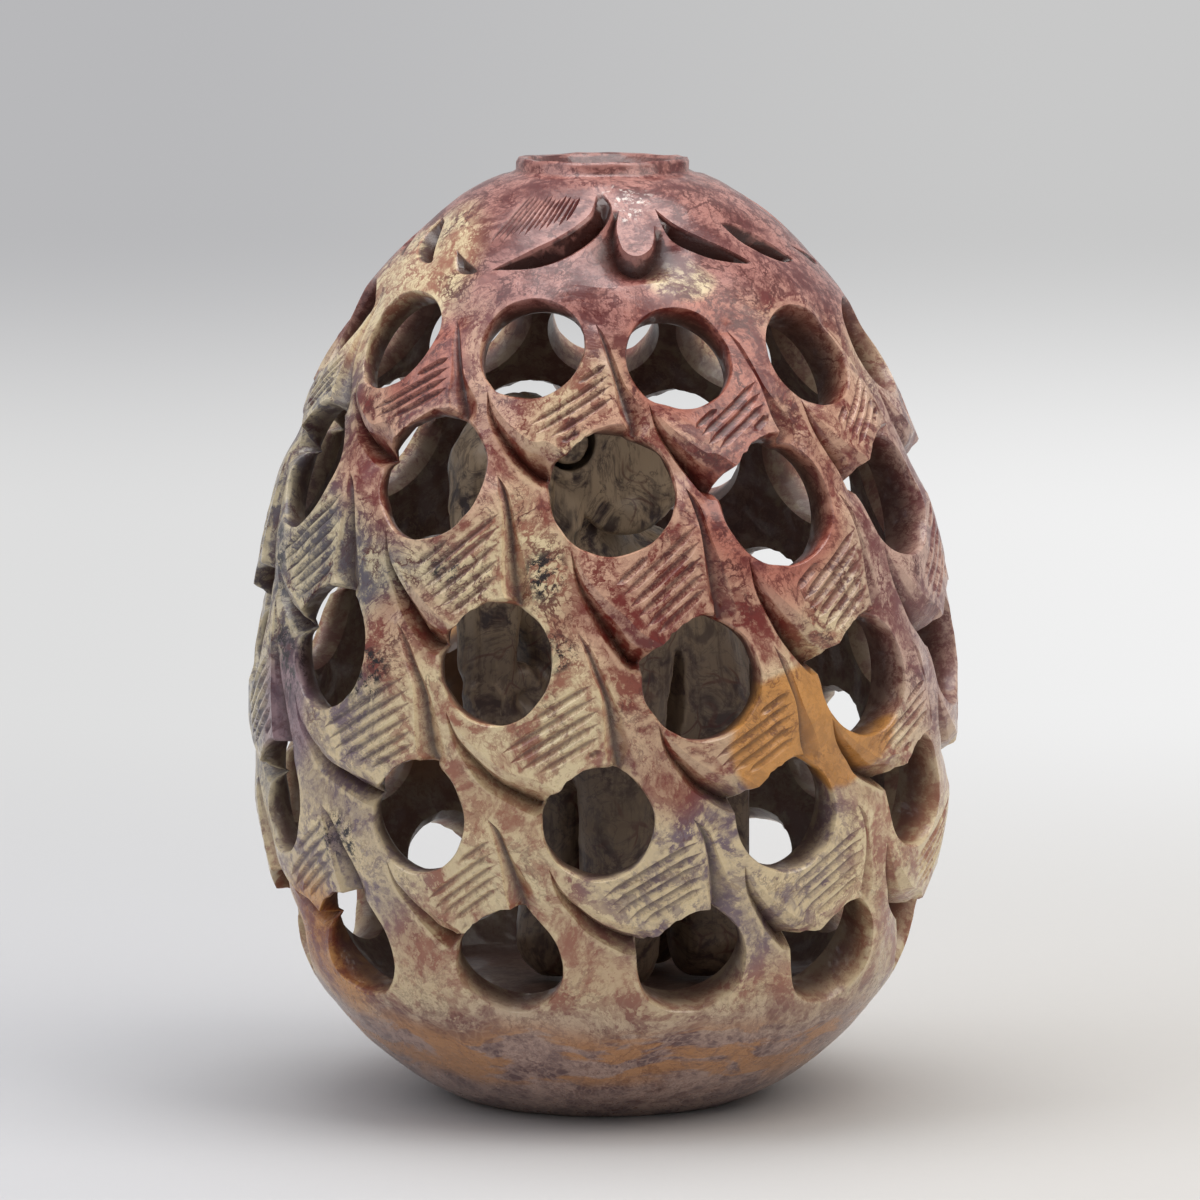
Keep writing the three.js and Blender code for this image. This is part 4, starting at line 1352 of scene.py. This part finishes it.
def soapstone_carved():
    """Soapstone, cut with gouges and waxed: crisp blotches and veins through the block, painted shade in its
    cuts, grooves and hollow, painted highlights on its edges and a low gloss."""
    material, tree, place = bare_material("soapstone, gouge-carved and waxed")
    wide = bent(tree, place, 7.0, 0.9)
    close = bent(tree, wide, 1.4, 0.09)
    flat = add_node(tree, "Mapping", {"Scale": (0.35, 0.35, 1.3), "Vector": wide})
    height = add_node(tree, "SeparateXYZ", {0: wide}, "Z")
    # Noises by their place, size in mm, detail and roughness
    blotch, shard, grain, crumbs, streak, patch, gouges, pits = (
        add_node(tree, "TexNoise", {"Vector": at, "Scale": per_mm(size), "Detail": detail, "Roughness": rough})
        for at, size, detail, rough in (
            (close, 3.6, 10.0, 0.66), (close, 1.9, 9.0, 0.68), (close, 0.7, 8.0, 0.72), (close, 0.8, 9.0, 0.8),
            (flat, 3.0, 7.0, 0.6), (place, 6.0, 2.0, 0.5), (flat, 1.1, 3.0, 0.5), (place, 0.30, 4.0, 0.6)))
    net = add_node(tree, "TexVoronoi", {"feature": "DISTANCE_TO_EDGE", "Scale": per_mm(0.9), "Vector": close})
    grime, edge_highlight_groove_shade, inside = (add_node(tree, "Attribute", {"attribute_name": name}, "Fac")
                           for name in ("grime", "edge_highlight_groove_shade", "inside"))

    # Two tones of the block, each with its clouds
    crown = mask(tree, (height, 57 * MM, 65 * MM))
    bowl = mask(tree, (height, 13 * MM, 7 * MM))
    clouds = [(within(tree, wide, on_stone(azimuth, z), reach, soft), stones)
              for azimuth, z, reach, soft, *stones in CLOUDS]
    pale, dark = (
        lay(tree, "cream" + part, ("bowl" + part, bowl), ("crown" + part, crown),
            *((stones[which] + part, cloud) for cloud, stones in clouds))
        for which, part in enumerate(("_light", "_dark")))
    colour = lay(
        tree, pale, (dark, (blotch, 0.44, 0.59)),
        # Fragments and crumbs of each tone within the other
        (dark, (shard, 0.54, 0.56, 0.55)), (pale, (shard, 0.465, 0.445, 0.65)),
        (dark, (grain, 0.55, 0.58, 0.55)), (pale, (grain, 0.45, 0.42, 0.5)),
        # The bowl is netted with pale lines between small dark cells, and tan streaks run round it
        (pale, bowl, (net, 0.14, 0.04, 0.45)),
        ("streak", (height, 2.5 * MM, 4.5 * MM), (height, 10 * MM, 7.5 * MM), (streak, 0.48, 0.55, 0.85)))

    # A net of thin veins, darker in some places than in others, and faint low down
    shade = lay(tree, dark, ("vein", (patch, 0.42, 0.56)))
    high = mask(tree, (height, 26 * MM, 44 * MM, 1.0, 0.35))
    for size, width, most in ((4.4, 0.022, 0.9), (2.0, 0.024, 0.7), (0.95, 0.03, 0.4)):
        colour = lay(tree, colour, (shade, fine_lines(tree, close, size, width, most), high))
    # Black specks, and pale crystals with a painted highlight on the crown's bud
    for spots, name, crumb in ((SPECKS, "speck", mask(tree, (crumbs, 0.495, 0.52))),
                               (CRYSTALS_AND_HIGHLIGHT, "crystal", mask(tree, (crumbs, 0.46, 0.43, 0.8)))):
        for azimuth, z, reach in spots:
            near = within(tree, wide, on_stone(azimuth, z), reach, reach * 0.4)
            colour = lay(tree, colour, (name, near, crumb))

    # Painted shade darkens the cuts, the grooves and the hollow, and painted highlights pale the edges
    colour = lay(
        tree, colour, (dark, (grime, 0.02, 0.14, 0.4)), ("grime", (grime, 0.15, 1.0, 0.6)),
        ("grime", (grime, 0.6, 1.6, 0.8)), ("grime", (edge_highlight_groove_shade, -0.12, -0.35, 0.3)),
        (pale, (edge_highlight_groove_shade, 0.05, 0.16, 0.7), (shard, 0.56, 0.44)), ("inside", (inside, 0.2, 0.8, 0.8)))
    bump = add_node(tree, "Bump", {"Strength": 0.35, "Distance": 0.05 * MM, "Height": pits})
    bump = add_node(tree, "Bump", {"Strength": 0.5, "Distance": 0.12 * MM, "Height": gouges, "Normal": bump})
    dull = add_node(tree, "Math", {"operation": "ADD", 0: mask(tree, (grain, 0.3, 0.7, 0.38, 0.24)),
                                   1: mask(tree, (inside, 0.0, 1.0, 0.25))})
    shader = add_node(tree, "BsdfPrincipled", {"IOR": 1.5, "Coat Weight": 0.2, "Coat Roughness": 0.1,
                                               "Base Color": colour, "Roughness": dull, "Normal": bump})
    add_node(tree, "OutputMaterial", {"Surface": shader})
    return material


def soapstone_undercut():
    """Soapstone, cut free through the holes and left unwaxed: dull, greenish grey with plum blotches."""
    material, tree, place = bare_material("soapstone, undercut and unwaxed")
    wide = bent(tree, place, 6.0, 2.5)
    upright = add_node(tree, "Mapping", {"Scale": (1.0, 1.0, 0.16), "Vector": place})
    height = add_node(tree, "SeparateXYZ", {0: wide}, "Z")
    blotch, green, streak, patch, chisel = (
        add_node(tree, "TexNoise", {"Vector": at, "Scale": per_mm(size), "Detail": detail, "Roughness": rough})
        for at, size, detail, rough in (
            (wide, 3.0, 8.0, 0.66), (wide, 7.0, 3.0, 0.5), (upright, 0.8, 5.0, 0.65), (place, 5.0, 2.0, 0.5),
            (upright, 0.6, 4.0, 0.6)))
    net = add_node(tree, "TexVoronoi", {"feature": "DISTANCE_TO_EDGE", "Scale": per_mm(3.4), "Vector": wide})
    grime, edge_highlight_groove_shade = (add_node(tree, "Attribute", {"attribute_name": name}, "Fac") for name in ("grime", "edge_highlight_groove_shade"))
    colour = lay(
        tree, "figure_light", ("figure_dark", (blotch, 0.47, 0.62)),
        ("figure_dark", fine_lines(tree, wide, 2.6, 0.022, 0.5)),
        ("figure_low", (height, 46 * MM, 36 * MM, 0.62)), ("figure_green", (green, 0.5, 0.66, 0.4)),
        # Streaks down the trunk and legs, and a broken net of veins
        ("figure_dark", (streak, 0.5, 0.68, 0.6)), ("vein", (net, 0.05, 0.015, 0.6), (patch, 0.5, 0.62)),
        # Painted shade, in the specks' black, in the eyes and under the ears, and painted highlights on the
        # edges
        ("speck", (grime, 0.2, 0.9, 0.9)), ("figure_light", (edge_highlight_groove_shade, 0.03, 0.15, 0.35)))
    bump = add_node(tree, "Bump", {"Strength": 0.5, "Distance": 0.12 * MM, "Height": chisel})
    shader = add_node(tree, "BsdfPrincipled", {"IOR": 1.58, "Roughness": 0.42, "Base Color": colour,
                                               "Normal": bump})
    add_node(tree, "OutputMaterial", {"Surface": shader})
    return material


def paper_rolled():
    """Matt paper: even and without grain, with painted shade high up and to the left and painted light to the
    right, glowing well behind the egg.
    """
    material, tree, place = bare_material("paper, rolled down and matt")
    x, y, z = add_node(tree, "SeparateXYZ", {0: place}).node.outputs
    fibre = add_node(tree, "TexNoise", {"Vector": place, "Scale": per_mm(1.2), "Detail": 3.0})
    near = lay(tree, "paper_left", ("paper_right", (x, -NEAR_SIDE * MM, NEAR_SIDE * MM)),
               ("backdrop_high_left", (fibre, 0.4, 0.7, 0.04)))
    across = mask(tree, (x, -FAR_SIDE * MM, FAR_SIDE * MM))
    low = lay(tree, "backdrop_left", ("backdrop_right", across))
    high = lay(tree, "backdrop_high_left", ("backdrop_high_right", across))
    far = lay(tree, low, (high, (z, SHADE_LOW * MM, SHADE_HIGH * MM)))
    # Seen directly, in a gloss or through glass, the paper well behind the egg glows with its painted light and
    # shade
    rays = add_node(tree, "LightPath").node.outputs
    seen = rays["Is Camera Ray"]
    for name in ("Is Glossy Ray", "Is Transmission Ray"):
        seen = add_node(tree, "Math", {"operation": "MAXIMUM", 0: seen, 1: rays[name]})
    shader = add_node(tree, "BsdfPrincipled", {"Roughness": 0.75, "IOR": 1.4, "Base Color": near})
    glow = add_node(tree, "Emission", {"Strength": 1.0, "Color": far})
    away = mask(tree, seen, (y, GLOW_NEAR * MM, GLOW_FAR * MM))
    both = add_node(tree, "MixShader", {0: away, 1: shader, 2: glow})
    add_node(tree, "OutputMaterial", {"Surface": both})
    return material


SWEEP_FRONT = 900.0
SWEEP_BACK = 420.0
SWEEP_BEND = 260.0
SWEEP_TOP = 900.0
SWEEP_WIDTH = 1600.0
SWEEP_STEPS = 24
# Where the paper's painted light and shade change: across the picture near the egg and behind it, up the bend,
# and away from it
NEAR_SIDE = 45.0
FAR_SIDE = 80.0
SHADE_LOW = -4.0
SHADE_HIGH = 34.0
GLOW_NEAR = 20.0
GLOW_FAR = 240.0


def lay_sweep():
    """Paper floor that bends up into the backdrop."""
    outline = [(-SWEEP_FRONT, 0.0), (SWEEP_BACK, 0.0)]
    for k in range(1, SWEEP_STEPS + 1):
        turn = math.pi / 2 * k / SWEEP_STEPS
        outline.append((SWEEP_BACK + SWEEP_BEND * math.sin(turn), SWEEP_BEND * (1 - math.cos(turn))))
    outline.append((SWEEP_BACK + SWEEP_BEND, SWEEP_TOP))
    corners = []
    faces = []
    for k, (y, z) in enumerate(outline):
        corners += [(-SWEEP_WIDTH / 2 * MM, y * MM, z * MM), (SWEEP_WIDTH / 2 * MM, y * MM, z * MM)]
        if k:
            faces.append((2 * k - 2, 2 * k - 1, 2 * k + 1, 2 * k))
    mesh = bpy.data.meshes.new("paper_sweep")
    mesh.from_pydata(corners, [], faces)
    mesh.shade_smooth()
    sweep = bpy.data.objects.new("paper_sweep", mesh)
    bpy.context.scene.collection.objects.link(sweep)
    mesh.materials.append(paper_rolled())


# Lamps: name, place in mm, size in mm, power in watts and colour
LAMPS = (
    ("softbox_right", (330, -180, 500), (420, 420), 1.6, "#fffaf4"),
    ("softbox_left", (-380, -140, 460), (400, 480), 1.0, "#f6f8ff"),
    ("softbox_over", (0, 20, 620), (460, 400), 2.3, "#ffffff"),
)
LAMP_AIM = (0.0, 0.0, 38.0)
ROOM_LIGHT = "#f2f3f5"


def hang_lamps(share, room_strength):
    for name, place, size, power, colour in LAMPS:
        data = bpy.data.lights.new(name, "AREA")
        data.shape = "RECTANGLE"
        data.size, data.size_y = (s * MM for s in size)
        data.energy = power * share
        data.color = linear(colour)[:3]
        lamp = bpy.data.objects.new(name, data)
        bpy.context.scene.collection.objects.link(lamp)
        lamp.location = Vector(place) * MM
        lamp.rotation_euler = (Vector(LAMP_AIM) - Vector(place)).to_track_quat("-Z", "Y").to_euler()
    world = bpy.data.worlds.new("room")
    bpy.context.scene.world = world
    world.use_nodes = True
    room = world.node_tree.nodes["Background"]
    room.inputs["Color"].default_value = linear(ROOM_LIGHT)
    room.inputs["Strength"].default_value = room_strength


class EggCarving(bpy.types.PropertyGroup):
    """Sizes of the carver's cuts"""
    hatch_pitch: FloatProperty(name="Hatch Pitch", description="Distance between the grooves on a leaf",
                               default=1.02 * MM, min=0.9 * MM, max=2.0 * MM, unit="LENGTH", precision=5)
    hatch_width: FloatProperty(name="Hatch Width", description="Width of a groove on a leaf",
                               default=0.8 * MM, min=0.3 * MM, max=0.85 * MM, unit="LENGTH", precision=5)
    hatch_depth: FloatProperty(name="Hatch Depth", description="Depth of a groove on a leaf",
                               default=0.4 * MM, min=0.0, max=0.8 * MM, unit="LENGTH", precision=5)
    hatch_lines: IntProperty(name="Hatch Lines", description="Most grooves that a leaf gets",
                             default=8, min=0, max=8)
    tool_marks: FloatProperty(name="Tool Marks", description="How far the surface waves where a tool passed",
                              default=0.1 * MM, min=0.0, max=0.2 * MM, unit="LENGTH", precision=5)
    figure_turn: FloatProperty(name="Elephant's Turn",
                               description="Way the elephant faces, from the egg's left side",
                               default=math.radians(40.0), subtype="ANGLE")


class StoneTones(bpy.types.PropertyGroup):
    """Colours of the stone, of its painted shade and highlights, and of the paper behind it"""
    __annotations__ = {
        key: FloatVectorProperty(name=key.replace("_", " ").title(), description="Colour of the " + what,
                                 default=linear(code)[:3], min=0.0, max=1.0, size=3, subtype="COLOR")
        for key, (code, what) in TONES.items()}


class StudioLight(bpy.types.PropertyGroup):
    """Light of the stage"""
    lamp_share: FloatProperty(name="Lamps", description="Power of the softboxes, as a share of the usual",
                              default=1.0, min=0.0, max=4.0, subtype="FACTOR")
    room: FloatProperty(name="Room", description="Strength of the even light of the room",
                        default=0.44, min=0.0, max=2.0)


class EGG_OT_carve_shell(bpy.types.Operator):
    """Carves the pierced egg with its leaves, collar and hollow"""
    bl_idname = "egg.carve_shell"
    bl_label = "Carve the Egg"

    def execute(self, context):
        egg = mesh_object("carved_egg", skin_of_egg(), soapstone_carved())
        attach(egg, "egg")
        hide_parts("foot_bowl", "lattice_row_4", "lattice_row_3", "lattice_row_2", "lattice_row_1",
                    "crown_leaf_cap", "top_collar")
        return {"FINISHED"}


class EGG_OT_carve_elephant(bpy.types.Operator):
    """Carves the elephant that stands loose in the hollow"""
    bl_idname = "egg.carve_elephant"
    bl_label = "Carve the Elephant"

    def execute(self, context):
        elephant = mesh_object("loose_elephant", skin_of_elephant(), soapstone_undercut())
        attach(elephant, "elephant")
        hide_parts("inner_elephant")
        return {"FINISHED"}


class EGG_OT_set_stage(bpy.types.Operator):
    """Lays the paper, hangs the lamps and places the camera"""
    bl_idname = "egg.set_stage"
    bl_label = "Set the Stage"

    def execute(self, context):
        lay_sweep()
        hang_lamps(context.scene.egg_light.lamp_share, context.scene.egg_light.room)
        make_camera()
        context.scene.view_settings.view_transform = "Standard"
        return {"FINISHED"}


class EGG_PT_workshop(bpy.types.Panel):
    """Lists the egg's pieces with their sizes and colours"""
    bl_idname = "EGG_PT_workshop"
    bl_label = "Pierced Stone Egg"
    bl_space_type = "VIEW_3D"
    bl_region_type = "UI"
    bl_category = "Egg"

    def draw(self, context):
        scene = context.scene
        for operator, group in (
                (EGG_OT_carve_shell, scene.egg_carving), (EGG_OT_carve_elephant, scene.stone_tones),
                (EGG_OT_set_stage, scene.egg_light)):
            box = self.layout.box()
            box.operator(operator.bl_idname)
            for name in group.bl_rna.properties.keys():
                if name not in ("rna_type", "name"):
                    box.prop(group, name)


CLASSES = (EggCarving, StoneTones, StudioLight, EGG_OT_carve_shell, EGG_OT_carve_elephant, EGG_OT_set_stage,
           EGG_PT_workshop)


def register():
    for cls in CLASSES:
        bpy.utils.register_class(cls)
    scene = bpy.types.Scene
    scene.egg_carving = PointerProperty(type=EggCarving, name="Carving", description="Sizes of the cuts")
    scene.stone_tones = PointerProperty(type=StoneTones, name="Tones", description="Colours of the stone")
    scene.egg_light = PointerProperty(type=StudioLight, name="Light", description="Light of the stage")


def unregister():
    del bpy.types.Scene.egg_light
    del bpy.types.Scene.stone_tones
    del bpy.types.Scene.egg_carving
    for cls in reversed(CLASSES):
        bpy.utils.unregister_class(cls)


def main():
    register()
    bpy.ops.egg.carve_shell()
    bpy.ops.egg.carve_elephant()
    bpy.ops.egg.set_stage()


if __name__ == "__main__":
    main()
